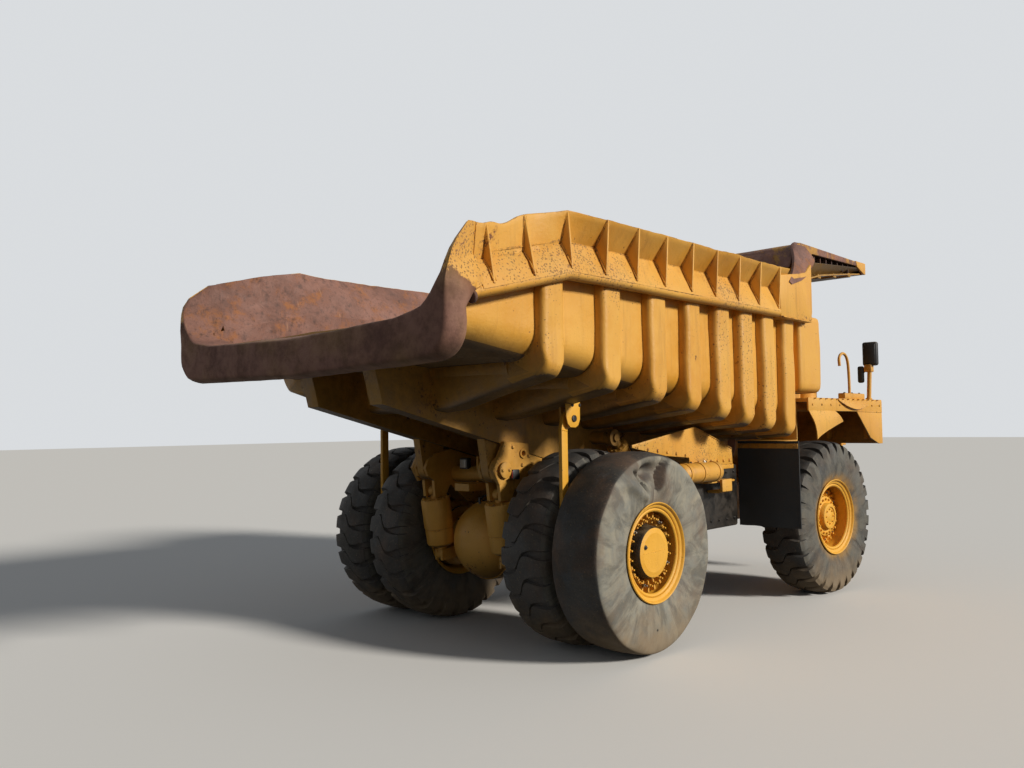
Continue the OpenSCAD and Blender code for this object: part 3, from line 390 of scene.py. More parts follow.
def sprayed_enamel(
    name, rust, spots, dust, edge_wear=0.5, soft_edges=0.0, grime_and_shade=0.6, speck_mm=60, soil_and_shade=0.0, fresh=0.0
):
    """Sprayed enamel on steel plate, left outdoors: faded, runs, rusty chips, dust on top, dirt and painted
    shade below.
    """
    material, add = start_finish(name)
    chosen = bpy.context.scene.truck_looks
    enamel, deep, pale = tuple(chosen.enamel), tuple(chosen.enamel_deep), tuple(chosen.enamel_pale)
    at = add("TexCoord", {}, "Object")
    facing = add("NewGeometry", {}, "Normal")
    up = add("SeparateXYZ", {0: facing}, 2)
    # Sun-bleached and deeper fields, a metre or so across, with clouding of 200 mm inside them
    fields = add("TexNoise", {"Vector": at, "Scale": per_metre(1250), "Detail": 3.0})
    cloud = add("TexNoise", {"Vector": at, "Scale": per_metre(200), "Detail": 6.0, "Roughness": 0.7})
    tone = add("MapRange", {0: fields, 1: 0.3, 2: 0.7})
    colour = add("Mix", {0: tone, 6: deep, 7: pale})
    colour = add("Mix", {0: 0.6, 6: colour, 7: enamel})
    bleach = add("MapRange", {0: cloud, 1: 0.35, 2: 0.75, 3: 0.0, 4: 0.4})
    colour = add("Mix", {0: bleach, 6: colour, 7: pale})
    # Runs: noise drawn out down the plate
    drawn = add("Mapping", {"Vector": at, "Scale": (3.2, 3.2, 0.28)})
    runs = add("TexNoise", {"Vector": drawn, "Scale": per_metre(330), "Detail": 7.0, "Roughness": 0.62})
    streak = add("MapRange", {0: runs, 1: 0.5, 2: 0.8, 3: 0.0, 4: 0.38})
    colour = add("Mix", {0: streak, 6: colour, 7: rgb("#8d5c1c")})
    if fresh:
        colour = add("Mix", {0: fresh, 6: colour, 7: rgb("#f4b52c")})
    # Irregular chips of 38 mm and round specks of about 20 mm, thicker in some places than in others
    zone_at = add("Mapping", {"Vector": at, "Location": (3.0, 2.1, -3.0)})
    zone = add("TexNoise", {"Vector": zone_at, "Scale": per_metre(625), "Detail": 4.0})
    chips = add("TexNoise", {"Vector": zone_at, "Scale": per_metre(38), "Detail": 5.0, "Roughness": 0.7})
    level = add("MapRange", {0: zone, 1: 0.4, 2: 0.75, 3: 0.0, 4: 0.07 * spots})
    chip_sum = add("Math", {0: chips, 1: level}, operation="ADD")
    chip_mark = add("MapRange", {0: chip_sum, 1: 0.70, 2: 0.75})
    grain = add("TexNoise", {"Vector": at, "Scale": per_metre(16), "Detail": 2.0}, 1)
    speck_at = add("VectorMath", {0: grain, 1: (0.022, 0.022, 0.022), 2: at}, operation="MULTIPLY_ADD")
    cells = add("TexVoronoi", {"Vector": speck_at, "Scale": per_metre(speck_mm)})
    radius = add("MapRange", {0: zone, 1: 0.3, 2: 0.7, 3: -0.05 + 0.05 * spots, 4: 0.05 + 0.13 * spots})
    inside = add("Math", {0: radius, 1: cells}, operation="SUBTRACT")
    speck = add("MapRange", {0: inside, 1: -0.03, 2: 0.04, 3: 0.0, 4: 0.85})
    # Bare patches with a stained rim; the wear attribute strips whole places
    patch_at = add("Mapping", {"Vector": at, "Location": (7.0, 4.9, -7.0)})
    patch = add(
        "TexNoise",
        {"Vector": patch_at, "Scale": per_metre(430), "Detail": 9.0, "Roughness": 0.68, "Distortion": 0.5}
    )
    worn = add("Attribute", {}, "Fac", attribute_name="wear")
    ragged = add("Math", {0: chips, 1: 0.5, 2: patch}, operation="MULTIPLY_ADD")
    ragged = add("Math", {0: ragged, 1: 0.25}, operation="SUBTRACT")
    stripped = add("Math", {0: worn, 1: 0.62, 2: ragged}, operation="MULTIPLY_ADD")
    bare_from = 0.72 - 0.13 * rust
    bare = add("MapRange", {0: stripped, 1: bare_from, 2: bare_from + 0.04})
    rim = add("MapRange", {0: stripped, 1: bare_from - 0.06, 2: bare_from + 0.02, 3: 0.0, 4: 0.5})
    colour = add("Mix", {0: rim, 6: colour, 7: RUST_STAIN})
    marks = add("Math", {0: chip_mark, 1: speck}, operation="MAXIMUM")
    marks = add("Math", {0: marks, 1: bare}, operation="MAXIMUM")
    if edge_wear:
        # Outer edges lose their paint: there the bevelled normal leaves the true one
        rounded = add("Bevel", {"Radius": 0.014})
        turned = add("VectorMath", {0: rounded, 1: facing}, "Value", operation="DOT_PRODUCT")
        edge = add("MapRange", {0: turned, 1: 0.985, 2: 0.86})
        nick_from = 0.64 - 0.2 * edge_wear
        nicks = add(
            "TexNoise", {"Vector": patch_at, "Scale": per_metre(90), "Detail": 6.0, "Roughness": 0.75}
        )
        nick = add("MapRange", {0: nicks, 1: nick_from, 2: nick_from + 0.1})
        lost = add("Math", {0: edge, 1: nick}, operation="MULTIPLY")
        marks = add("Math", {0: marks, 1: lost}, operation="MAXIMUM")
    rust_tone = add("MapRange", {0: cloud, 1: 0.35, 2: 0.7})
    rusty = add("Mix", {0: rust_tone, 6: RUST_MID, 7: RUST_DARK})
    scale_tone = add("MapRange", {0: worn, 1: 0.3, 2: 0.9})
    mill_rust = add("Mix", {0: rust_tone, 6: rgb("#8a6252"), 7: rgb("#5e3f36")})
    rusty = add("Mix", {0: scale_tone, 6: rusty, 7: mill_rust})
    colour = add("Mix", {0: marks, 6: colour, 7: rusty})
    # Dust settles on what faces up in clumps, a thin film lies everywhere; what faces down is darkened by dirt
    # and painted shade
    film = add("MapRange", {0: zone, 1: 0.4, 2: 0.75, 3: 0.0, 4: 0.3 * dust})
    colour = add("Mix", {0: film, 6: colour, 7: CHALK})
    level_face = add("MapRange", {0: up, 1: 0.25, 2: 0.9})
    clump = add("MapRange", {0: cloud, 1: 0.62 - 0.35 * dust, 2: 0.8})
    crumbs = add("MapRange", {0: chips, 1: 0.5, 2: 0.62, 3: 0.35, 4: 1.0})
    settled = add("Math", {0: level_face, 1: clump}, operation="MULTIPLY")
    settled = add("Math", {0: settled, 1: crumbs}, operation="MULTIPLY")
    colour = add("Mix", {0: settled, 6: colour, 7: rgb("#6e5a41")})
    # Painted shade, partly real dirt: faces that turn down are darkened
    below = add("MapRange", {0: up, 1: -0.25, 2: -0.95, 3: 0.0, 4: grime_and_shade})
    colour = add("Mix", {0: below, 6: colour, 7: UNDER_GRIME_AND_SHADE})
    if soil_and_shade:
        # Oil and road dirt over everything, thin on the high spots; laid thick, it also paints shade on parts
        # that stand in shadow
        oily = add("MapRange", {0: cloud, 1: 0.25, 2: 0.7, 3: soil_and_shade, 4: 0.55 * soil_and_shade})
        colour = add("Mix", {0: oily, 6: colour, 7: rgb("#1a1209")})
    rough = add("MapRange", {0: cloud, 1: 0.3, 2: 0.7, 3: 0.42, 4: 0.62})
    rough = add("Math", {0: marks, 1: 0.3, 2: rough}, operation="MULTIPLY_ADD", use_clamp=True)
    dents = add("Math", {0: fields, 1: 2.0, 2: chips}, operation="MULTIPLY_ADD")
    height = add("Math", {0: marks, 1: -0.3, 2: dents}, operation="MULTIPLY_ADD")
    lay_surface(add, {"Base Color": colour, "Roughness": rough}, height, 0.35, 0.012, soft_edges)
    return material


def rusted_plate(name, paint_left=0.0, painted_shade=0.0, soft_edges=0.0):
    """Hot-rolled plate scoured by rock: purple-brown scale, orange bloom, scratches and some old enamel, with
    painted shade below and, if wanted, all over.
    """
    material, add = start_finish(name)
    at = add("TexCoord", {}, "Object")
    up = add("SeparateXYZ", {0: add("NewGeometry", {}, "Normal")}, 2)
    broad = add(
        "TexNoise",
        {"Vector": at, "Scale": per_metre(770), "Detail": 6.0, "Roughness": 0.65, "Distortion": 0.4}
    )
    tone = add("MapRange", {0: broad, 1: 0.35, 2: 0.65})
    colour = add("Mix", {0: tone, 6: rgb("#6b483b"), 7: rgb("#93695a")})
    bloom_at = add("Mapping", {"Vector": at, "Location": (3.0, 2.1, -3.0)})
    bloom_field = add(
        "TexNoise", {"Vector": bloom_at, "Scale": per_metre(280), "Detail": 8.0, "Roughness": 0.72}
    )
    bloom = add("MapRange", {0: bloom_field, 1: 0.5, 2: 0.68})
    colour = add("Mix", {0: bloom, 6: colour, 7: rgb("#a0683f")})
    scab_field = add("TexNoise", {"Vector": at, "Scale": per_metre(90), "Detail": 8.0, "Roughness": 0.75})
    scab = add("MapRange", {0: scab_field, 1: 0.48, 2: 0.72, 3: 0.0, 4: 0.85})
    colour = add("Mix", {0: scab, 6: colour, 7: rgb("#43302a")})
    # Scratches run along the body, drawn out of a 400 mm noise
    along = add("Mapping", {"Vector": at, "Scale": (1.2, 7.0, 1.2), "Location": (5.0, 3.5, -5.0)})
    gouge_field = add("TexNoise", {"Vector": along, "Scale": per_metre(400), "Detail": 6.0, "Roughness": 0.7})
    gouge = add("MapRange", {0: gouge_field, 1: 0.62, 2: 0.7, 3: 0.0, 4: 0.5})
    colour = add("Mix", {0: gouge, 6: colour, 7: rgb("#b58a6c")})
    if paint_left:
        paint_at = add("Mapping", {"Vector": at, "Location": (11.0, 7.7, -11.0)})
        paint_field = add(
            "TexNoise",
            {"Vector": paint_at, "Scale": per_metre(590), "Detail": 9.0, "Roughness": 0.7, "Distortion": 0.3}
        )
        ends = {0: paint_field, 1: 0.62 - 0.25 * paint_left, 2: 0.66 - 0.2 * paint_left}
        left = add("MapRange", ends)
        old = add("Mix", {0: scab_field, 6: rgb("#a8772f"), 7: rgb("#c4924a")})
        colour = add("Mix", {0: left, 6: colour, 7: old})
    pits = add("TexNoise", {"Vector": at, "Scale": per_metre(24), "Detail": 5.0, "Roughness": 0.75})
    pit = add("MapRange", {0: pits, 1: 0.56, 2: 0.7, 3: 0.0, 4: 0.7})
    colour = add("Mix", {0: pit, 6: colour, 7: rgb("#2c1d18")})
    # Painted shade: the whole plate darkened evenly, for plate that stands in shadow
    if painted_shade:
        colour = add("Mix", {0: painted_shade, 6: colour, 7: rgb("#150e0c")})
    # Painted shade: what faces down is darker
    below = add("MapRange", {0: up, 1: -0.2, 2: -0.9, 3: 0.0, 4: 0.6})
    colour = add("Mix", {0: below, 6: colour, 7: rgb("#1d1310")})
    grain = add("Math", {0: pits, 1: 0.4, 2: scab_field}, operation="MULTIPLY_ADD")
    height = add("Math", {0: gouge_field, 1: 0.5, 2: grain}, operation="MULTIPLY_ADD")
    rough = add("MapRange", {0: bloom_field, 1: 0.3, 2: 0.7, 3: 0.62, 4: 0.9})
    lay_surface(add, {"Base Color": colour, "Roughness": rough}, height, 0.5, 0.014, soft_edges)
    return material


def tyre_rubber(name, axle_y, bald=0.0, overspray=0.0):
    """Moulded tyre rubber, weathered: grey bloom, streaks, brown dust low down and yellow overspray."""
    material, add = start_finish(name)
    at = add("TexCoord", {}, "Object")
    height_here = add("SeparateXYZ", {0: at}, 2)
    cloud = add("TexNoise", {"Vector": at, "Scale": per_metre(450), "Detail": 6.0, "Roughness": 0.65})
    tone = add("MapRange", {0: cloud, 1: 0.35, 2: 0.7})
    colour = add("Mix", {0: tone, 6: rgb("#242322"), 7: rgb("#3b3936")})
    drawn = add("Mapping", {"Vector": at, "Scale": (1.0, 2.6, 2.6), "Location": (4.0, 2.8, -4.0)})
    streak_field = add(
        "TexNoise",
        {"Vector": drawn, "Scale": per_metre(500), "Detail": 7.0, "Roughness": 0.7, "Distortion": 0.8}
    )
    streak = add("MapRange", {0: streak_field, 1: 0.45, 2: 0.7, 3: 0.0, 4: 0.3})
    colour = add("Mix", {0: streak, 6: colour, 7: rgb("#5f5b54")})
    # Bands of wear that run from the bead out to the shoulder: noise read on the ring around the axle
    from_hub = add("VectorMath", {0: at, 1: (0.0, -axle_y, -AXLE_Z)}, operation="ADD")
    flat = add("VectorMath", {0: from_hub, 1: (0.0, 1.0, 1.0)}, operation="MULTIPLY")
    ring = add("VectorMath", {0: flat}, operation="NORMALIZE")
    spread = add("VectorMath", {0: flat, 1: (0.0, 0.9, 0.9), 2: ring}, operation="MULTIPLY_ADD")
    spoke_field = add(
        "TexNoise", {"Vector": spread, "Scale": 2.6, "Detail": 7.0, "Roughness": 0.62, "Distortion": 0.9}
    )
    facing = add("SeparateXYZ", {0: add("NewGeometry", {}, "Normal")}, 0)
    facing = add("Math", {0: facing}, operation="ABSOLUTE")
    wall = add("MapRange", {0: facing, 1: 0.55, 2: 0.85})
    spoke = add("MapRange", {0: spoke_field, 1: 0.38, 2: 0.6, 3: 0.08 + 0.35 * bald, 4: 0.34 + 0.6 * bald})
    pale = add("Math", {0: spoke, 1: wall}, operation="MULTIPLY")
    wall_tone = add("Mix", {0: streak_field, 6: rgb("#b9ac90"), 7: rgb("#5a6870")})
    colour = add("Mix", {0: pale, 6: colour, 7: wall_tone})
    blue_at = add("Mapping", {"Vector": at, "Location": (8.0, 5.6, -8.0)})
    blue_field = add(
        "TexNoise", {"Vector": blue_at, "Scale": per_metre(250), "Detail": 5.0, "Roughness": 0.6}
    )
    blue = add("MapRange", {0: blue_field, 1: 0.55, 2: 0.72, 3: 0.0, 4: 0.4})
    colour = add("Mix", {0: blue, 6: colour, 7: rgb("#5b6166")})
    brown_at = add("Mapping", {"Vector": at, "Location": (12.0, 8.4, -12.0)})
    brown_field = add(
        "TexNoise",
        {"Vector": brown_at, "Scale": per_metre(670), "Detail": 6.0, "Roughness": 0.7, "Distortion": 0.5}
    )
    brown = add("MapRange", {0: brown_field, 1: 0.45, 2: 0.72, 3: 0.0, 4: 0.4 + 0.2 * bald})
    colour = add("Mix", {0: brown, 6: colour, 7: rgb("#6f5643")})
    low_sum = add("Math", {0: height_here, 1: -1.1, 2: blue_field}, operation="MULTIPLY_ADD")
    low = add("MapRange", {0: low_sum, 1: -0.15, 2: 0.42, 3: 0.0, 4: 0.75})
    colour = add("Mix", {0: low, 6: colour, 7: rgb("#8f7a5e")})
    grit = add("TexNoise", {"Vector": at, "Scale": per_metre(21), "Detail": 4.0, "Roughness": 0.7})
    crumb = add("MapRange", {0: grit, 1: 0.58, 2: 0.72, 3: 0.0, 4: 0.45})
    colour = add("Mix", {0: crumb, 6: colour, 7: rgb("#a08d70")})
    if overspray:
        mist_field = add("MapRange", {0: blue_field, 1: 0.3, 2: 0.65})
        near_rim = add("Attribute", {}, "Fac", attribute_name="wear")
        mist = add("Math", {0: near_rim, 1: mist_field}, operation="MULTIPLY")
        colour = add("Mix", {0: mist, 6: colour, 7: rgb("#b98a3c")})
    # Weather cracks and grain of about 80 mm and 20 mm, drawn coarser than they are to show at this distance
    checks = add("TexNoise", {"Vector": at, "Scale": per_metre(80), "Detail": 6.0, "Roughness": 0.7})
    checks = add("Math", {0: spoke_field, 1: wall, 2: checks}, operation="MULTIPLY_ADD")
    grain = add("Math", {0: grit, 1: 0.3, 2: checks}, operation="MULTIPLY_ADD")
    height = add("Math", {0: streak_field, 1: 0.8, 2: grain}, operation="MULTIPLY_ADD")
    rough = add("MapRange", {0: cloud, 1: 0.3, 2: 0.7, 3: 0.66, 4: 0.9})
    lay_surface(add, {"Base Color": colour, "Roughness": rough}, height, 0.35, 0.012)
    return material


def two_tone(
    name, dark, light, rough=(0.4, 0.7), patch_mm=250, relief=0.15, metal=0.0, dust=0.3, soft_edges=0.0,
    ior=1.5, alpha=1.0
):
    """A small part's surface: two close tones in patches, fine grain, and dust on what faces up."""
    material, add = start_finish(name)
    at = add("TexCoord", {}, "Object")
    up = add("SeparateXYZ", {0: add("NewGeometry", {}, "Normal")}, 2)
    cloud = add("TexNoise", {"Vector": at, "Scale": per_metre(patch_mm), "Detail": 6.0, "Roughness": 0.65})
    grain = add(
        "TexNoise", {"Vector": at, "Scale": per_metre(patch_mm / 14), "Detail": 4.0, "Roughness": 0.7}
    )
    tone = add("MapRange", {0: cloud, 1: 0.35, 2: 0.7})
    colour = add("Mix", {0: tone, 6: rgb(dark), 7: rgb(light)})
    speck = add("MapRange", {0: grain, 1: 0.6, 2: 0.75, 3: 0.0, 4: 0.5 * dust})
    colour = add("Mix", {0: speck, 6: colour, 7: DUST})
    level_face = add("MapRange", {0: up, 1: 0.3, 2: 0.95, 3: 0.0, 4: dust})
    clump = add("MapRange", {0: cloud, 1: 0.35, 2: 0.65})
    settled = add("Math", {0: level_face, 1: clump}, operation="MULTIPLY")
    colour = add("Mix", {0: settled, 6: colour, 7: DUST})
    gloss = add("MapRange", {0: cloud, 1: 0.3, 2: 0.7, 3: rough[0], 4: rough[1]})
    height = add("Math", {0: cloud, 1: 1.2, 2: grain}, operation="MULTIPLY_ADD")
    looks = {"Base Color": colour, "Roughness": gloss, "Metallic": metal, "IOR": ior, "Alpha": alpha}
    lay_surface(add, looks, height, relief, 0.008, soft_edges)
    return material


def mix_finishes():
    """Every finish of the truck, named for what the real surface is."""
    enamels = {
        "panel": dict(rust=0.1, spots=0.45, dust=0.2, speck_mm=85),
        "rib": dict(rust=0.15, spots=1.5, dust=0.45, speck_mm=32),
        "shelf": dict(rust=0.2, spots=2.2, dust=0.9, edge_wear=0.7, speck_mm=26),
        "board": dict(rust=0.2, spots=0.6, dust=0.3, edge_wear=0.8, speck_mm=80),
        # The underside and oil-soaked enamels are dark with dirt and oil, and also stand for painted shade on
        # the faces in shadow where they are laid
        "under": dict(rust=0.5, spots=0.8, dust=0.4, edge_wear=0.3, soft_edges=0.01, grime_and_shade=0.95, soil_and_shade=0.62),
        "chassis": dict(rust=0.3, spots=0.9, dust=0.5, soft_edges=0.01, grime_and_shade=0.9, soil_and_shade=0.28),
        "greasy_and_shaded": dict(rust=0.5, spots=0.6, dust=0.3, edge_wear=0.2, soft_edges=0.01, grime_and_shade=0.9, soil_and_shade=0.93),
        "wheel": dict(rust=0.1, spots=0.4, dust=0.2, edge_wear=0.0, fresh=0.55),
        "deck": dict(rust=0.2, spots=0.7, dust=0.5, soft_edges=0.006),
        "trim": dict(rust=0.2, spots=0.8, dust=0.5, edge_wear=0.6),
    }
    for key, levels in enamels.items():
        FINISHES[key] = sprayed_enamel("sprayed_enamel_" + key, **levels)
    FINISHES["rust"] = rusted_plate("hot_rolled_plate_rusted")
    FINISHES["rust_paint"] = rusted_plate("hot_rolled_plate_part_painted", paint_left=0.5)
    FINISHES["rust_soft"] = rusted_plate("hot_rolled_plate_solid", soft_edges=0.012)
    FINISHES["rust_dark"] = rusted_plate("hot_rolled_plate_shaded", painted_shade=0.6)
    FINISHES["tyre"] = tyre_rubber("tyre_rubber_moulded", REAR_Y)
    FINISHES["tyre_front"] = tyre_rubber("tyre_rubber_oversprayed", FRONT_Y, overspray=1.0)
    FINISHES["tyre_bald"] = tyre_rubber("tyre_rubber_worn_smooth", REAR_Y, bald=1.0)
    # Rubber sheet, cut from a roll: near black, matt, a little dust
    FINISHES["flap"] = two_tone("rubber_sheet_cut", "#0b0b0c", "#17181a", (0.55, 0.75), relief=0.25, dust=0.2)
    # Chassis black, brushed on: satin where it is clean
    FINISHES["black"] = two_tone("chassis_black_brushed", "#141416", "#26241f", (0.4, 0.65), soft_edges=0.006)
    # Cast iron soaked in oil and dirt: dark, half glossy, lumpy
    FINISHES["grease"] = two_tone(
        "cast_iron_oily", "#120f0c", "#2d251b", (0.3, 0.6), 140, 0.4, soft_edges=0.006
    )
    # Turned steel, dulled: metal with a broad highlight
    FINISHES["steel"] = two_tone("turned_steel_dull", "#8d8578", "#b3aa9a", (0.25, 0.5), 250, 0.1, metal=0.8)
    # Red lead primer, bleached by the sun to pink
    FINISHES["primer"] = two_tone("red_lead_primer_faded", "#b8806a", "#c79a84", (0.5, 0.7), 250, 0.2)
    # Extruded hose rubber with a dull skin
    FINISHES["hose"] = two_tone("hose_rubber_extruded", "#0d0d0e", "#1c1b1a", (0.45, 0.65), 110)
    # Pressed vinyl over foam: soft sheen, leather-like grain of 8 mm, coarser than the real one
    FINISHES["seat"] = two_tone("vinyl_pressed", "#1b1b1d", "#2c2a28", (0.45, 0.6), 110, 0.3)
    # Laminated glass with a film of dust
    FINISHES["glass"] = two_tone(
        "laminated_glass_dusty", "#93a5a3", "#bfc8c2", (0.05, 0.3), 200, 0.03, alpha=0.42
    )
    # Pressed lamp glass over a reflector
    FINISHES["lens"] = two_tone("lamp_glass_pressed", "#cfd0c8", "#e6e4da", (0.12, 0.25), 60, 0.1)
    # Moulded acrylic, deep red and glossy
    FINISHES["red_lens"] = two_tone(
        "acrylic_red_moulded", "#5a0d0a", "#7d1712", (0.15, 0.3), 60, 0.1, ior=1.49
    )
    # Enamel on cab linings, brushed pale grey
    FINISHES["lining"] = two_tone("cab_lining_enamel", "#8f8c82", "#a8a599", (0.45, 0.65), 200)


# Dump body


# The side board starts this far above the long rail's middle, and rises this much
BOARD_FOOT = 0.3
BOARD_RISE = 0.24
RIB_EDGE = RIB_R - 0.015
SKIN_X = PANEL_X + 0.06
RIB_OUT = RIB_R - 0.06
RIB_DOWN = RIB_R - 0.04


def rib_height(y):
    """How far the nearest channel rib stands out of the panel: flat face, round shoulders, steep sides."""
    u = min(abs(y - c) for c in RIB_YS) / RIB_EDGE
    return 0.0 if u >= 1 else RIB_OUT * (1 - u**6.5) ** (1 / 2.2)


def keel(y):
    """How much deeper a rib runs below the floor at the long beams than at the body's corner."""
    return lerp(0.08, 0.27, smooth(-1.2, 3.4, y))


def board_lean(y):
    """How far rock has pushed the top of the board in towards the tail."""
    return 0.145 * smooth(2.6, 3.5, y) * (1 - 0.25 * smooth(3.6, 4.1, y))


def board_point(side, x, h, y):
    """A point of the side board's section, pushed in and down near the tail."""
    x -= board_lean(y) * max(0.0, h - BOARD_FOOT) / BOARD_RISE
    z = rail_at(y) + h - 0.05 * smooth(2.7, 3.4, y) * bump(h - 0.31, 0.1)
    if h > BOARD_FOOT:
        z += (top_dip(y, side) + 0.2 * board_lean(y)) * (h - BOARD_FOOT) / BOARD_RISE
    return x, z


def body_stations():
    """Places along the body, closer together over the ribs."""
    edge = RIB_EDGE
    stops = {-1.47, WRAP_Y + 0.02}
    for c in RIB_YS:
        stops.update(round(c + edge * math.sin(k * math.pi / 20), 4) for k in range(-10, 11))
        stops.update((round(c - edge - 0.012, 4), round(c + edge + 0.012, 4)))
    stops = sorted(stops)
    out = [stops[0]]
    for a, b in zip(stops, stops[1:]):
        n = int((b - a) / 0.09) + 1
        out += [lerp(a, b, (i + 1) / n) for i in range(n)]
    return out


def trough_path(y, half, bend, lift, top, sag=0.0):
    """Points and outward directions from the middle of the floor up one side, around a bend of its own."""
    z0 = floor_at(y) + lift
    flat = half - bend
    pts = [((flat * i / 7, z0 - sag * min(1.0, (1 - i / 7) * 1.6)), (0.0, -1.0)) for i in range(8)]
    for i in range(1, 11):
        t = math.pi / 2 * i / 10
        pts.append(((flat + bend * math.sin(t), z0 + bend * (1 - math.cos(t))), (math.sin(t), -math.cos(t))))
    pts += [((half, lerp(z0 + bend, top, i / 13)), (1.0, 0.0)) for i in range(1, 14)]
    return pts


def shell_finish(c, n):
    """Ribs, panels between them, the scoured inside of the pressed sheet, the dirty underside that also paints
    shade, and painted shade on faces turned to the tail.
    """
    inside = abs(c.x) < INNER_X + 0.005 and c.z > floor_at(c.y) + 0.015
    if inside and (n.z > 0.2 or n.x * c.x < 0):
        return "rust"
    # Underside: dark enamel for dirt and painted shade
    if n.z < -0.8 or (c.z < floor_at(c.y) + 0.01 and abs(c.x) < 1.7):
        return "under"
    # Painted shade: faces turned to the tail take the darker, dirtier chassis enamel
    if n.y > 0.8:
        return "chassis"
    return "panel" if rib_height(c.y) < 0.02 else "rib"


def make_shell():
    """The pressed floor and sides with their channel ribs, one closed sheet."""
    shell = Piece("body_shell", "rib", body="dump_body")
    rows = []
    for y in body_stations():
        top = rail_at(y) - 0.02
        h = rib_height(y)
        outer = []
        k = h / RIB_OUT
        u = min(1.0, min(abs(y - c) for c in RIB_YS) / RIB_EDGE)
        for (x, z), (nx, nz) in trough_path(
            y, SKIN_X + h, lerp(BEND_R, 0.13, k), -RIB_DOWN * k, top, keel(y) * k
        ):
            q = (x, y, z)
            dent = (0.010 * wobble(q, 1.9, 3.1) + 0.004 * wobble(q, 6.0, 8.0)) * smooth(0.0, 0.12, top - z)
            hollow = 0.014 * max(0.0, wobble(q, 3.1, 20.0) - 0.25) if h > 0.06 else 0.0
            d = dent - hollow - (0.09 * u**4 * abs(nx * nz) * 2 if k > 0 else 0.0)
            outer.append((x + nx * d, z + nz * d))
        lip = smooth(3.82, 4.17, y) * (LIP_TOP_Z - 0.04 - floor_at(y))
        inner = []
        for (x, z), (nx, nz) in trough_path(y, INNER_X, BEND_R - 0.04, 0.04, top + 0.06):
            z = max(z, floor_at(y) + 0.04 + lip * (1 if x < FLOOR_HALF else max(0, (INNER_X - x) / 0.22)))
            q = (x, y, z)
            dent = 0.02 * wobble(q, 1.4, 5.0) + 0.007 * wobble(q, 5.0, 1.0)
            inner.append((x - abs(nx) * abs(dent) * 0.6, z + max(dent, -0.01) * abs(nz)))
        row = [(x, y, z) for x, z in outer] + [(x, y, z) for x, z in inner[::-1]]
        row += [(-x, y, z) for x, z in inner[1:]] + [(-x, y, z) for x, z in outer[:0:-1]]
        rows.append(row)
    shell.loft(rows, pick=shell_finish)
    return shell.done("body_side_right", "body_side_left", "body_floor", sharp=48)


def top_dip(y, side):
    """Dents along the top edge."""
    d = 0.012 * wobble((side * 3, y, 0), 2.3, 4.0) + 0.005 * wobble((side * 3, y, 1), 9.0, 1.0)
    if side < 0:
        d -= 0.05 * bump(y - 3.78, 0.16) + 0.03 * bump(y - 4.05, 0.1)
    return d


BOARD_SECTION = [  # x, height over the rail's middle
    (1.86, -0.02), (2.05, -0.01), (2.122, 0.02), (2.104, 0.066), (2.079, 0.125), (2.053, 0.185),
    (2.028, 0.243), (2.006, 0.297), (2.0, 0.31), (2.024, 0.345), (2.056, 0.395), (2.088, 0.445),
    (2.12, 0.495), (2.144, 0.532), (2.146, 0.541), (2.136, 0.545), (2.122, 0.54), (2.09, 0.487), (2.04, 0.41),
    (1.99, 0.335), (1.965, 0.3), (1.93, 0.21), (1.88, 0.1), (1.835, 0.02)]


def board_dent(q, h):
    """How far the board and shelf are pushed out at a point, less near the rail."""
    return (0.012 * wobble(q, 1.7, 2.0) + 0.006 * wobble(q, 5.0, 7.0)) * (0.4 if h < 0.06 else 1.0)


def board_finish(c, n):
    """Scoured steel inside, dusty shelf and cleaner board outside."""
    h = c.z - rail_at(c.y)
    if h > 0.05 and n.x * c.x < 0 and n.z < 0.9:
        return "rust"
    return "board" if h > 0.305 else "shelf"


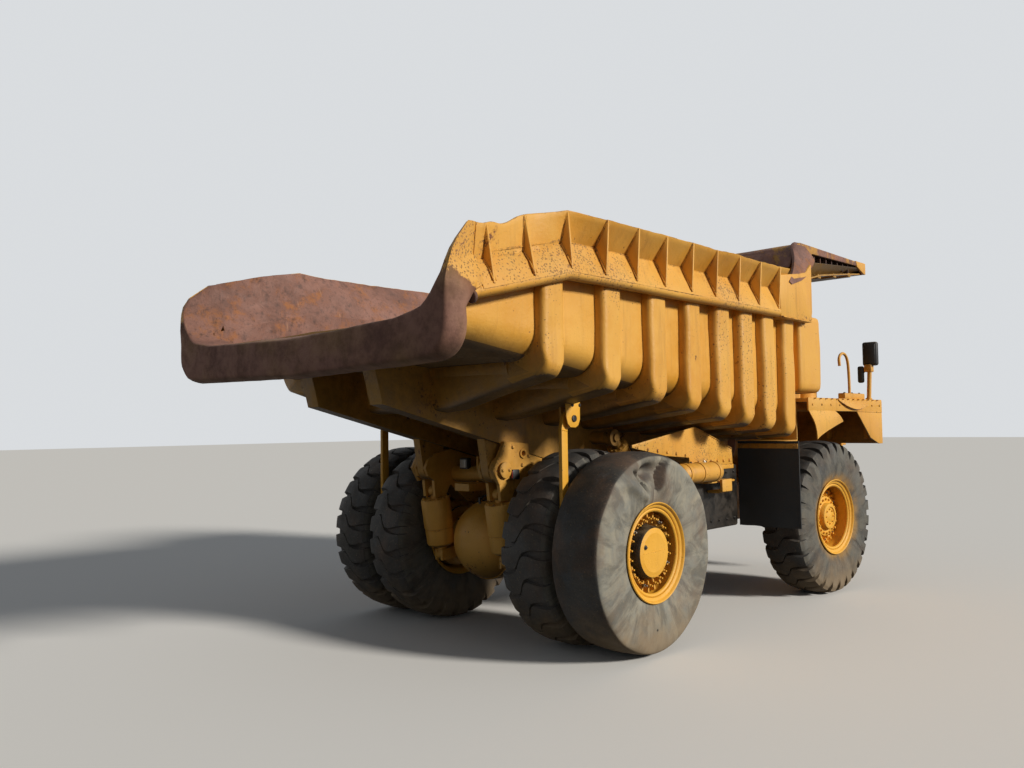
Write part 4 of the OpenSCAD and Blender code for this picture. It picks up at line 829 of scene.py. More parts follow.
def make_rail(side, name):
    """Long rail, sloping shelf, side board and gusset plates of one side."""
    p = Piece("body_rail_" + name, "shelf", body="dump_body")
    rows = []
    for i in range(121):
        y = lerp(-1.02, 4.12, i / 120)
        row = []
        for x, h in BOARD_SECTION:
            x, z = board_point(side, x, h, y)
            row.append((side * (x + board_dent((side * x, y, z), h)), y, z))
        rows.append(row)
    p.loft(rows, pick=board_finish)
    # The round rail, drawn out past the front post and on to its nub at the tail
    rail = []
    radii = []
    for i in range(90):
        y = lerp(-1.64, 4.215, i / 89)
        q = (side * BEAM_X, y, rail_at(y))
        x = BEAM_X + 0.012 + 0.006 * wobble(q, 1.3, 5.0)
        rail.append((side * x, y, rail_at(y) + 0.012 + 0.006 * wobble(q, 1.1, 9.0)))
        radii.append(bpy.context.scene.truck_shape.rail_radius * (1 + 0.05 * wobble(q, 4.0, 1.0)))
    p.tube(rail, radii, 18)
    for i in range(11):
        p.use("board")
        y = REAR_Y + 2.35 - 0.477 * i
        lean = 0.02 * wobble((side, y, 3), 3.0, 2.0)
        outline = [(2.122, 0.05), (2.15, 0.535), (2.142, 0.545), (1.99, 0.31), (1.995, 0.3), (2.1, 0.05)]
        t = 0.011
        rows = []
        for yy in (y - t, y - t * 0.6, y + t * 0.6, y + t):
            k = 0.006 if abs(yy - y) > t * 0.8 else 0.0
            row = []
            for x, h in outline:
                x1, z = board_point(side, x, h, y)
                row.append((side * (x1 - k * 0.5), yy + lean * h, z - h * k))
            rows.append(row)
        p.loft(rows)
        p.use("shelf")
        # Weld beads where it meets the shelf and the board
        for (x0, h0), (x1, h1) in (((2.115, 0.07), (2.002, 0.305)), ((2.002, 0.315), (2.14, 0.53))):
            for s in (-1, 1):
                bead = []
                for j in range(7):
                    x, h = lerp(x0, x1, j / 6), lerp(h0, h1, j / 6)
                    x, z = board_point(side, x + 0.004, h, y)
                    bead.append((side * x, y + s * (t + 0.004) + lean * h, z))
                p.tube(bead, [0.006 + 0.002 * ((j * 7) % 3 - 1) for j in range(7)], 6)
    # Bead along the notch between the shelf and the board
    for y0, y1 in ((-1.2, 0.4), (0.5, 1.9), (2.0, 4.05)):
        bead = []
        for j in range(13):
            y = lerp(y0, y1, j / 12)
            z = rail_at(y) + 0.305
            bead.append((side * (2.0 + board_dent((side * 2.0, y, z), 0.3)), y, z))
        p.weld(bead, 0.006)
    return p.done(sharp=50)


# Stations of the cheek on the + side: front boundary, two points of the outer face,
# rear edge outside and inside, inner front
CHEEK = [
    ((2.143, 4.10, 3.812), (2.146, 4.14, 3.805), (2.145, 4.19, 3.795), (2.142, 4.215, 3.785),
     (2.115, 4.215, 3.78), (2.11, 4.10, 3.81)),
    ((2.085, 4.10, 3.725), (2.095, 4.20, 3.700), (2.11, 4.32, 3.680), (2.135, 4.395, 3.655),
     (2.10, 4.40, 3.645), (2.045, 4.10, 3.72)),
    ((2.027, 4.10, 3.63), (2.05, 4.20, 3.610), (2.085, 4.36, 3.590), (2.13, 4.455, 3.565),
     (2.085, 4.46, 3.56), (1.985, 4.10, 3.625)),
    ((1.995, 4.10, 3.585), (2.03, 4.20, 3.550), (2.08, 4.37, 3.510), (2.12, 4.478, 3.480),
     (2.06, 4.485, 3.47), (1.95, 4.10, 3.56)),
    ((2.027, 4.10, 3.53), (2.06, 4.20, 3.490), (2.10, 4.37, 3.430),
     (2.10, 4.49, 3.400), (2.02, 4.495, 3.39), (1.92, 4.10, 3.50)),
    ((2.089, 4.10, 3.395), (2.11, 4.20, 3.360), (2.125, 4.36, 3.310), (2.085, 4.50, 3.300),
     (1.965, 4.50, 3.315), (1.88, 4.10, 3.42)),
    ((2.115, 4.12, 3.33), (2.125, 4.22, 3.280), (2.13, 4.38, 3.220),
     (2.07, 4.50, 3.220), (1.91, 4.50, 3.25), (1.85, 4.15, 3.33)),
    ((1.84, 4.27, 3.16), (2.06, 4.265, 3.150), (2.13, 4.36, 3.130),
     (2.06, 4.50, 3.140), (1.86, 4.50, 3.20), (1.82, 4.20, 3.26)),
    ((1.84, 4.28, 3.04), (2.08, 4.275, 3.040), (2.128, 4.36, 3.030),
     (2.055, 4.50, 3.030), (1.80, 4.50, 3.16), (1.78, 4.20, 3.22)),
]


def wrap_stations():
    """The cheek, then the rounded corner and the lip as far as the middle of the tail."""
    out = [[Vector(q) for q in row] for row in CHEEK]
    for i in range(1, 8):
        t = math.pi / 2 * i / 7
        c, s = math.cos(t), math.sin(t)
        base = floor_at(WRAP_Y) + BEND_R
        out.append([
            Vector((FLOOR_HALF + 0.245 * c, 4.28 - 0.03 * s, base - 0.245 * s)),
            Vector((1.852 + 0.228 * c, 4.275, 3.02 - 0.238 * s)),
            Vector((1.852 + 0.276 * c, 4.36 + 0.01 * s, 3.02 - 0.284 * s)),
            Vector((1.852 + 0.203 * c, 4.5, 3.02 - 0.216 * s)),
            Vector((lerp(1.80, 1.46, i / 7), 4.5, lerp(3.16, 3.095, (i / 7) ** 0.7))),
            Vector((lerp(1.78, 1.42, i / 7), 4.2, lerp(3.22, 3.135, (i / 7) ** 0.7)))])
    for i in range(1, 17):
        u = i / 16
        out.append([
            Vector((lerp(FLOOR_HALF, 0, u), 4.25, floor_at(WRAP_Y) + 0.015)),
            Vector((lerp(1.852, 0, u), 4.275, lerp(2.782, 2.745, u))),
            Vector((lerp(1.852, 0, u), 4.37, lerp(2.736, 2.695, u))),
            Vector((lerp(1.852, 0, u), 4.5, lerp(2.804, 2.74, u))),
            Vector((lerp(1.46, 0, u), 4.5, lerp(3.095, 3.05, u))),
            Vector((lerp(1.42, 0, u), 4.2, lerp(3.135, 3.12, u)))])
    return out


def wrap_section(f, a, b, e, r, g):
    """One closed section of the wrap: outer face, rounded rear edge, rear face, rounded lip, inside."""
    pts = curve_points([f, a, b], 4)
    corner = Vector((lerp(b.x, e.x, 0.2), e.y, lerp(b.z, e.z, 0.2)))
    for k in range(1, 6):
        t = k / 5
        pts.append(b.lerp(corner, t).lerp(corner.lerp(e, t), t))
    near = r + (e - r).normalized() * min(0.03, 0.3 * (e - r).length)
    pts += [e.lerp(near, k / 4) for k in range(1, 5)]
    over = r + (g - r).normalized() * 0.035
    for k in range(1, 5):
        t = k / 4
        pts.append(near.lerp(r, t).lerp(r.lerp(over, t), t))
    return pts + [over.lerp(g, 0.33), over.lerp(g, 0.66), g]


def rust_line(y):
    """Height below which the cheek has lost its paint."""
    return 3.24 + (y - 4.24) * 0.567


def wrap_wear(co):
    """Paint loss on the wrap: whole below the line and over the lip, some at the edge of the cheek."""
    if co.z < 3.2 or abs(co.x) < 1.9:
        return 1.0
    ragged = 0.05 * wobble(co, 9.0, 2.0) + 0.05 * wobble(co, 3.0, 5.0)
    return smooth(0.2, -0.16, co.z - rust_line(co.y) + ragged)


def wrap_finish(c, n):
    """Scoured steel on the inside of the cheeks."""
    return "rust" if n.x * c.x < -0.15 * abs(c.x) and c.z > 3.1 else None


def make_wrap():
    """The heavy plate bent around the tail: both cheeks, the corners and the lip between them."""
    p = Piece("body_tail_wrap", "shelf", body="dump_body", slot="rusty_steel")
    half = [wrap_section(*s) for s in wrap_stations()]
    rows = []
    for side, row in [(-1, s) for s in half] + [(1, s) for s in half[-2::-1]]:
        line = []
        for k, q in enumerate(row):
            v = Vector((side * q.x, q.y, q.z))
            d = 0.008 * wobble(v, 2.0, 3.0) + 0.004 * wobble(v, 7.0, 5.0)
            if k < 3:
                d *= k / 3
            ragged = 0.008 * wobble(v, 11.0, 2.0) if q.y > 4.45 else 0.0
            dip = top_dip(q.y, side) if q.z > 3.6 else 0.0
            push = board_lean(4.1) * min(1.0, max(0.0, (q.z - 3.58) / 0.23)) * smooth(4.47, 4.25, q.y)
            y = min(4.5, q.y + min(0.0, d + ragged))
            line.append(
                (side * (q.x + d * 0.6 - push), y, q.z + dip + 0.25 * push + (d if q.x < 1.9 else 0.0))
            )
        rows.append(line)
    p.loft(rows, pick=wrap_finish)
    # Seam bead where the wrap meets the side panels, and the end of the long rail, darkened with painted shade
    for s in (-1, 1):
        seam = [(s * row[1].x * 0.995, row[1].y - 0.004, row[1].z) for row in half[7:17]]
        p.use("rust").weld(seam, 0.009)
        p.use("rust_dark").rod(
            (s * 2.08, 4.195, 3.232), (s * 2.08, 4.226, 3.226), 0.052, sides=16, bevel=0.008
        )
    return p.done(sharp=55, wear=wrap_wear)


def make_front_corners():
    """Wide posts at the front corners, the flat plates over them and the front wall's stiffeners."""
    p = Piece("body_front_corners", "panel", body="dump_body")
    heights = (
        (2.62, 0.11), (2.622, 0.07), (2.64, 0.03), (2.68, 0.006), (2.74, 0.0), (2.95, -0.004), (3.2, -0.006),
        (3.4, 0.0), (3.52, 0.0), (3.565, 0.008), (3.585, 0.03), (3.59, 0.06)
    )
    for s in (-1, 1):
        outline = []
        for yc, r, d, turn in ((-2.13, 0.1, 1, range(5, -1, -1)), (-1.48, 0.05, -1, range(6))):
            for k in turn:
                t = math.pi / 2 * k / 5
                outline.append((yc + d * r * (1 - math.sin(t)), r * (1 - math.cos(t))))
        rows = []
        for z, drop in heights:
            row = [(s * 1.8, -2.13 + drop * 0.5, z)]
            for y, c in outline:
                yy = lerp(-1.805, y, 1 - drop * 0.7)
                row.append((s * (2.025 - c - drop + 0.006 * wobble((s * 2.0, yy, z), 2.4, 1.0)), yy, z))
            row.append((s * 1.8, -1.48, z))
            rows.append(row)
        p.use("panel").loft(rows)
        # Flat plate over the post, its return to the front wall and the wall's own edge
        p.use("shelf")
        outline = [
            (-1.655, 3.60), (-1.62, 3.52), (-1.55, 3.49), (-0.80, 3.50), (-0.80, 3.99), (-1.30, 4.06),
            (-1.50, 4.10), (-1.66, 4.22)
        ]
        p.plate(outline, 0, s * 2.075, s * 2.122, bevel=0.012)
        p.use("board").block((s * 1.83, -1.655, 3.5), (s * 2.09, -1.60, 4.2), 0.01)
        p.block((s * 1.815, -2.13, 3.49), (s * 1.862, -1.60, 4.22), 0.01)
        p.block((s * 1.84, -1.64, 3.485), (s * 2.1, -0.85, 3.53), 0.008)
        p.weld([(s * 2.124, -1.6, 3.488), (s * 2.125, -1.2, 3.492), (s * 2.124, -0.85, 3.498)], 0.007)
    # Stiffeners across the outside of the front wall
    p.use("under")
    for z in (2.78, 3.18, 3.58, 3.98):
        p.block((-1.78, -2.19, z - 0.06), (1.78, -2.12, z + 0.06), 0.02, seg=3)
    for x in (-1.2, -0.4, 0.4, 1.2):
        p.block((x - 0.035, -2.175, 2.66), (x + 0.035, -2.12, 4.18), 0.012)
    return p.done(sharp=45)


CANOPY_TIP = -3.96
CANOPY_ROOT = -1.73


def make_canopy():
    """The roof over the cab: bent plate, stiffeners, side flanges with their slot, yellow front edge."""
    p = Piece("canopy_plate", "rust_paint", body="dump_body", slot="rusty_steel")
    tip, root = CANOPY_TIP, CANOPY_ROOT
    top = [
        (tip, 4.556), (-3.2, 4.553), (-2.4, 4.556), (root - 0.14, 4.556), (root - 0.04, 4.54),
        (root + 0.06, 4.49), (root + 0.18, 4.25)
    ]
    rows = []
    for i in range(41):
        x = lerp(-1.9, 1.9, i / 40)
        row = []
        for y, z in top:
            dent = 0.014 * abs(wobble((x, y, z), 1.2, 6.0))
            row.append((x, y + 0.004 * wobble((x, y, z), 6.0, 2.0), min(4.56, z - 0.006 - dent)))
        for y, z in top[::-1]:
            dent = 0.014 * abs(wobble((x, y, z), 1.2, 6.0))
            row.append((x, y + (0.03 if z < 4.5 else 0), z - 0.045 - dent))
        rows.append(row)
    p.loft(rows)
    # Front wall's upper part, closing the canopy to the body
    p.block((-1.82, BODY_FRONT_Y, 4.19), (1.82, BODY_FRONT_Y + 0.08, 4.5), 0.006)
    flange = [
        (tip + 0.02, 4.545), (root - 0.11, 4.555), (root + 0.06, 4.495), (root + 0.19, 4.24), (-2.0, 4.24),
        (-2.05, 4.40), (-2.2, 4.455), (tip + 0.02, 4.49)
    ]
    for s in (-1, 1):
        p.use("rust_paint").plate(flange, 0, s * 1.866, s * 1.905, 0.006)
        # Lower plate, tilted in at its foot, in the dark underside enamel that also paints its shade
        rows = []
        upper = [(tip, 4.47), (tip + 0.42, 4.452), (-2.2, 4.345), (-2.02, 4.33)]
        lower = [(tip, 4.40), (tip + 0.42, 4.37), (-2.2, 4.15), (-2.02, 4.11)]
        for (y0, z0), (y1, z1) in zip(upper, lower):
            rows.append(
                [(s * 1.903, y0, z0), (s * 1.76, y1, z1), (s * 1.74, y1, z1 + 0.01), (s * 1.87, y0, z0)]
            )
        p.use("under").loft(rows)
        # Wing plate that folds from the roof down and out to the side's corner
        ridge = [
            (1.88, -1.64, 4.50), (1.88, -1.72, 4.55), (1.88, -1.84, 4.557), (1.88, -2.02, 4.55),
            (1.88, -2.16, 4.46)
        ]
        foot = [
            (2.135, -1.02, 3.93), (2.135, -1.09, 3.905), (2.13, -1.36, 3.98), (2.12, -1.56, 4.07),
            (2.12, -1.68, 4.18)
        ]
        rows = []
        for i in range(13):
            u = i / 12
            row = []
            for out in (0.0, -0.03):
                line = []
                for q, r in zip(ridge, foot):
                    v = Vector(q).lerp(Vector(r), u)
                    v.x += out + 0.05 * math.sin(math.pi * u) + 0.006 * wobble(v, 3.0, 2.0)
                    line.append((s * v.x, v.y, v.z + out * 0.3))
                row += line if out == 0.0 else line[::-1]
            rows.append(row)
        p.use("rust").loft(rows)
        p.block((s * 1.82, -2.13, 4.2), (s * 1.89, root - 0.14, 4.54), 0.008)
        # Short ribs that show in the slot, darkened with painted shade
        for k in range(7):
            y = lerp(tip + 0.5, -2.35, k / 6)
            p.use("rust_dark").block((s * 1.5, y - 0.012, 4.36), (s * 1.86, y + 0.012, 4.53), 0.003)
    # Lower skin with its cross channels, and the folded front edge
    under = (
        (tip + 0.02, 4.41), (-3.2, 4.32), (-2.5, 4.22), (-2.15, 4.14), (-2.15, 4.12), (-2.5, 4.2),
        (-3.2, 4.3), (tip + 0.02, 4.39)
    )
    skin = []
    for i in range(25):
        x = lerp(-1.87, 1.87, i / 24)
        skin.append([(x, y, z + 0.006 * wobble((x, y, z), 2.0)) for y, z in under])
    p.use("under").loft(skin)
    for y, z in ((-3.5, 4.34), (-3.0, 4.27), (-2.5, 4.2)):
        p.block((-1.86, y - 0.05, z - 0.03), (1.86, y + 0.05, z + 0.03), 0.012)
    edge = [
        (tip, 4.392), (tip, 4.545), (tip + 0.02, 4.557), (tip + 0.1, 4.557), (tip + 0.1, 4.535),
        (tip + 0.03, 4.53), (tip + 0.03, 4.392)
    ]
    rows = []
    for i in range(31):
        x = lerp(-1.9, 1.9, i / 30)
        rows.append([(x, y + 0.008 * abs(wobble((i * 0.4, y, z), 1.0)), z) for y, z in edge])
    p.use("trim").loft(rows)
    cap = [(tip, 4.39), (tip, 4.55), (tip + 0.34, 4.552), (tip + 0.30, 4.47), (tip + 0.06, 4.39)]
    for s in (-1, 1):
        p.plate(cap, 0, s * 1.88, s * 1.912, bevel=0.005)
    return p.done("body_canopy", sharp=45)


# Wheels

CASING = [  # axial, radial from bead to crown on one side
    (0.232, 0.452), (0.246, 0.485), (0.268, 0.545), (0.284, 0.62), (0.290, 0.70), (0.288, 0.775),
    (0.280, 0.84), (0.268, 0.885), (0.256, 0.92), (0.240, 0.948), (0.215, 0.966), (0.17, 0.978),
    (0.11, 0.986), (0.05, 0.9895), (0.0, 0.991)]
BALD_CASING = [
    (0.232, 0.452), (0.246, 0.485), (0.262, 0.52), (0.274, 0.565), (0.282, 0.62), (0.286, 0.68),
    (0.2875, 0.74), (0.287, 0.80), (0.2845, 0.855), (0.279, 0.90), (0.267, 0.937), (0.246, 0.957),
    (0.20, 0.967), (0.13, 0.973), (0.06, 0.977), (0.0, 0.978)]
LUG_STEPS = (  # place across a lug's pitch, share of its height
    (-0.5, 0), (-0.42, 0), (-0.40, 0.25), (-0.375, 1), (-0.2, 1), (0.0, 1), (0.2, 1), (0.375, 1),
    (0.40, 0.25), (0.42, 0))


def across(half, per_span):
    """Smooth outer profile from one bead to the other, as (axial, radial)."""
    one = [(q.x, q.y) for q in curve_points([(a, r, 0) for a, r in half], per_span)]
    return one + [(-a, r) for a, r in one[-2::-1]]


def lug_tyre(p, to, lugs, height, crown=0.952, seed=0.0):
    """A worn rock tyre: blocks from each shoulder down the sidewall, with zigzag grooves between."""
    k = crown / 0.991
    rows = across([(a, r if r < 0.7 else r * lerp(1, k, (r - 0.7) / 0.291)) for a, r in CASING], 2)
    pitch = math.tau / lugs
    width = 0.268
    sections = []
    for i in range(lugs):
        wear = 1.0 - 0.12 * abs(wobble((i * 1.7, seed, 0), 1.0, 3.0))
        for f, top in LUG_STEPS:
            row = []
            for a, r in rows:
                s = a / width
                u = abs(s)
                # The groove narrows towards the middle and opens at the shoulder
                squeeze = lerp(1.16, 0.80, smooth(0.1, 1.0, u)) if abs(f) > 0.3 else 1.0
                ff = max(-0.492, min(0.492, f * squeeze)) if abs(f) < 0.49 else f
                bend = 0.5 * smooth(-0.22, 0.22, s) + 0.16 * math.sin(s * 2.6) * (1 - 0.4 * u)
                t = (i + ff + bend) * pitch
                h = height * top * smooth(0.80, 0.90, r) * wear * (0.75 if r < 0.93 and u > 0.9 else 1.0)
                q = (a * 3, math.cos(t), math.sin(t))
                h -= 0.006 * max(0.0, wobble(q, 9.0, seed)) * top
                # Lift along the surface's own direction: outwards on the tread, sideways on the shoulder
                lean = smooth(0.75, 1.02, u) * 0.6
                axial = a + math.copysign(h * lean, a) if u > 0.05 else a
                row.append(to(axial, r + h * (1 - 0.35 * lean) + 0.004 * wobble(q, 3.0, seed + 2), t))
            sections.append(row)
    p.loft(sections, closed=True)


def bald_shape(a, r, t):
    """Buckles, folds and a collapsed pocket in the worn-out tyre's outer wall."""
    near = (t + math.pi) % math.tau - math.pi
    w = smooth(0.02, 0.2, a)
    # The torn zone is up and slightly behind the hub
    zone = bump(near - 1.52, 0.42)
    pocket = bump(near - 1.42, 0.15) * bump(r - 0.80, 0.085)
    fold = bump(near - 1.66 - 0.5 * (r - 0.75), 0.05) * smooth(0.5, 0.7, r) * smooth(0.98, 0.86, r)
    ridge = bump(near - 1.78 - 0.3 * (r - 0.75), 0.10) * smooth(0.5, 0.66, r) * smooth(0.97, 0.88, r)
    lifted = bump(near - 1.05 + 0.9 * (r - 0.75), 0.10) * smooth(0.5, 0.6, r) * smooth(0.95, 0.8, r)
    crease = bump(near - 1.24 + 0.6 * (r - 0.75), 0.03) * smooth(0.55, 0.68, r) * smooth(0.93, 0.84, r)
    d = w * (
        -0.12 * pocket - 0.075 * fold + 0.045 * ridge + 0.045 * lifted - 0.05 * crease
        - 0.035 * zone * bump(r - 0.80, 0.12)
    )
    # Slit low on the wall
    d -= w * 0.03 * bump(near + 0.98, 0.012) * bump(r - 0.74, 0.09)
    # Old waves all round the wall
    q = (math.cos(near) * r, math.sin(near) * r, a)
    d += w * 0.012 * wobble(q, 3.2, 4.0) * smooth(0.48, 0.62, r)
    d += w * 0.006 * math.sin(9 * near + 4 * wobble(q, 2.0, 1.0)) * bump(r - 0.88, 0.06)
    sag = -0.025 * zone * smooth(0.12, 0.3, a) * smooth(0.8, 0.95, r)
    return a + d, r + sag + 0.003 * wobble(q, 6.0, 9.0), t


def make_front_tyre(side, name):
    """A lugged front tyre with yellow overspray beside its rim."""
    to = wheel_place(side, TRACK_FRONT, FRONT_Y, STEER_REST)
    p = Piece("tyre_front_" + name, "tyre_front", body="front_wheel_" + name, slot="tyre_rubber")
    shape = bpy.context.scene.truck_shape
    lug_tyre(p, to, shape.lug_count, shape.lug_height, seed=2.0 + side)
    centre = to(0, 0, 0)
    return p.done("front_tyre_" + name, sharp=32, wear=lambda co: smooth(0.62, 0.47, (co - centre).yz.length))


def make_rear_tyres(side, name):
    """Twin rear tyres; the outer one on the right is worn smooth and torn."""
    outer = wheel_place(side, TRACK_REAR, REAR_Y)
    inner = wheel_place(side, TRACK_INNER, REAR_Y)
    p = Piece("tyres_rear_" + name, "tyre", body="rear_wheels_" + name, slot="tyre_rubber")
    lug_tyre(p, inner, 24, 0.038, crown=0.962, seed=5.0 + side)
    if side > 0:
        shape = bpy.context.scene.truck_shape
        lug_tyre(p, outer, shape.lug_count, shape.lug_height, seed=9.0)
        return p.done("rear_tyres_" + name, sharp=32)
    p.use("tyre_bald")
    profile = across(BALD_CASING, 3)
    p.lathe([(-0.2, 0.45)] + profile[::-1] + [(0.2, 0.45)], outer, 240, shape=bald_shape)
    # Open crack that steps along the tread's edge
    p.use("grease")
    crack = []
    for k in range(19):
        t = 1.30 + 0.058 * k
        z = 0.175 + (0.03 if k % 3 == 0 else -0.014 if k % 3 == 1 else 0.0) - 0.004 * k
        a, r, t = bald_shape(z, 0.962, t)
        crack.append(outer(a, r + 0.002, t))
    p.tube(crack, [0.002 + 0.008 * math.sin(math.pi * k / 18) for k in range(19)], 6)
    slit = [outer(*bald_shape(0.288, lerp(0.66, 0.82, k / 5), -0.98)) for k in range(6)]
    p.tube(slit, [0.001, 0.005, 0.007, 0.007, 0.005, 0.001], 6)
    p.rod(outer(0.25, 0.73, -1.5), outer(0.289, 0.73, -1.5), 0.012, sides=8)
    return p.done("rear_tyres_" + name, sharp=32)


def rim_barrel(p, to, dish):
    """Both flanges, lock ring, gutter and the inside of the barrel, one closed ring of revolution."""
    p.lathe([
        (dish, 0.405), (0.12, 0.412), (0.17, 0.418), (0.20, 0.424), (0.212, 0.432), (0.222, 0.434),
        (0.232, 0.430), (0.240, 0.434), (0.246, 0.446), (0.250, 0.460), (0.262, 0.468), (0.272, 0.474),
        (0.276, 0.482), (0.270, 0.489), (0.258, 0.487), (0.250, 0.478), (0.242, 0.468), (0.2, 0.456),
        (-0.2, 0.456), (-0.242, 0.468), (-0.258, 0.487), (-0.270, 0.489), (-0.276, 0.482), (-0.262, 0.468),
        (-0.246, 0.446), (-0.2, 0.424), (-0.1, 0.41), (dish, 0.405)], to, 88)
    # Step of the lock ring, with its groove
    p.lathe([
        (0.205, 0.398), (0.212, 0.392), (0.224, 0.394), (0.232, 0.402), (0.236, 0.415), (0.230, 0.428),
        (0.21, 0.425), (0.205, 0.398)], to, 88)


def make_rear_rims(side, name):
    """Twin rims on their hub: flat cover, fill plug, wedge clamps with studs and nuts."""
    p = Piece("rims_rear_" + name, "wheel", body="rear_wheels_" + name)
    to = wheel_place(side, TRACK_REAR, REAR_Y)
    rim_barrel(p, to, 0.02)
    rim_barrel(p, wheel_place(side, TRACK_INNER, REAR_Y), -0.05)
    # Hub: oily drum that narrows outwards, then the flat cover
    p.lathe([
        (-0.92, 0.16), (-0.92, 0.30), (-0.40, 0.30), (0.03, 0.275), (0.19, 0.255), (0.205, 0.248),
        (0.222, 0.244), (0.232, 0.238), (0.2355, 0.228), (0.237, 0.195), (0.2385, 0.192), (0.238, 0.188),
        (0.2375, 0.10), (0.238, 0.0)], to, 80, pick=lambda c, n: "grease" if abs(n.x) < 0.8 else None)
    # Seam across the cover, and the fill plug
    p.rod(to(0.238, 0.19, math.pi * 0.98), to(0.238, 0.19, 0.02), 0.0025, sides=6)
    p.use("grease")
    p.rod(to(0.233, 0.168, 0.39), to(0.244, 0.168, 0.39), 0.024, sides=14, bevel=0.003)
    p.rod(to(0.243, 0.168, 0.39), to(0.256, 0.168, 0.39), 0.013, sides=6, bevel=0.002)
    # Painted shade: a dark ring stands in the gap between hub and rim
    p.lathe([(0.03, 0.415), (0.03, 0.26), (0.055, 0.26), (0.055, 0.415), (0.03, 0.415)], to, 48)
    count = bpy.context.scene.truck_shape.clamp_count
    half = 0.247 / count
    for k in range(count):
        t = math.tau * (k + 0.5) / count
        rows = []
        for a, r0, r1, w in (
            (0.05, 0.275, 0.40, half * 1.3), (0.14, 0.275, 0.40, half * 1.3), (0.158, 0.285, 0.39, half * 1.1)
        ):
            corners = ((r0, -w / r0 * 0.7), (r0, w / r0 * 0.7), (r1, w / r1), (r1, -w / r1))
            rows.append([to(a, r, t + dt) for r, dt in corners])
        p.use("trim").loft(rows)
        p.use("steel" if k % 5 == 2 else "wheel")
        p.rod(to(0.155, 0.325, t), to(0.183, 0.325, t), 0.017, sides=6, bevel=0.002)
        p.rod(to(0.18, 0.325, t), to(0.206, 0.325, t), 0.009, sides=8, bevel=0.0015)
    # Spacer band between the twin rims, and the brake drum on the inner side
    p.use("chassis")
    p.lathe([(-0.40, 0.405), (-0.36, 0.425), (-0.30, 0.425), (-0.255, 0.405), (-0.40, 0.405)], to, 64)
    p.lathe(
        [
            (-0.905, 0.305), (-0.90, 0.36), (-0.88, 0.39), (-0.74, 0.39), (-0.72, 0.36), (-0.72, 0.30),
            (-0.905, 0.305)
        ],
        to, 64
    )
    p.ring_bolts(to, -0.905 - 0.012, 0.335, 16, 0.011, 0.012)
    return p.done("rear_rims_" + name, sharp=38)


def make_front_rim(side, name):
    """Front rim: deep dish with a double ring of studs and a raised hub."""
    p = Piece("rim_front_" + name, "wheel", body="front_wheel_" + name)
    to = wheel_place(side, TRACK_FRONT, FRONT_Y, STEER_REST)
    rim_barrel(p, to, 0.02)
    p.lathe([
        (-0.26, 0.095), (-0.26, 0.26), (-0.06, 0.26), (-0.05, 0.40), (0.0, 0.408), (0.02, 0.408),
        (0.025, 0.40), (0.045, 0.388), (0.062, 0.372), (0.066, 0.345), (0.06, 0.325), (0.045, 0.312),
        (0.04, 0.30), (0.048, 0.288), (0.085, 0.272), (0.115, 0.258), (0.124, 0.24), (0.126, 0.205),
        (0.122, 0.192), (0.128, 0.182), (0.168, 0.172), (0.184, 0.162), (0.190, 0.145), (0.188, 0.125),
        (0.176, 0.118), (0.174, 0.07), (0.182, 0.055), (0.184, 0.0)], to, 80)
    p.ring_bolts(to, 0.064, 0.356, 24, 0.0155, 0.03)
    p.ring_bolts(to, 0.125, 0.224, 18, 0.012, 0.022, math.pi / 18)
    p.ring_bolts(to, 0.177, 0.094, 8, 0.009, 0.014)
    # Ribs of the spider
    for k in range(24):
        t = math.tau * (k + 0.5) / 24
        rows = []
        for a, r, w in (
            (0.052, 0.384, 0.012), (0.058, 0.34, 0.013), (0.072, 0.292, 0.012), (0.11, 0.262, 0.009)
        ):
            corners = ((-0.02, -1), (0.014, -0.5), (0.014, 0.5), (-0.02, 1))
            rows.append([to(a + da, r, t + turn * w / r) for da, turn in corners])
        p.loft(rows)
    p.use("grease")
    for k in range(9):
        t = math.tau * (k * 0.113 + 0.18)
        p.rod(to(0.096, 0.31, t), to(0.104, 0.31, t), 0.012, sides=7)
    return p.done("front_rim_" + name, sharp=38)


# Front end: decks, rails, mirrors, cab, bonnet


def ring_to(x, y, z, way):
    """Function from (axial, radial, angle) to a point around an axis that starts at (x, y, z)."""
    turn = Vector(way).to_track_quat("X", "Z").to_matrix()
    start = Vector((x, y, z))
    return lambda a, r, t: start + turn @ Vector((a, r * math.cos(t), r * math.sin(t)))


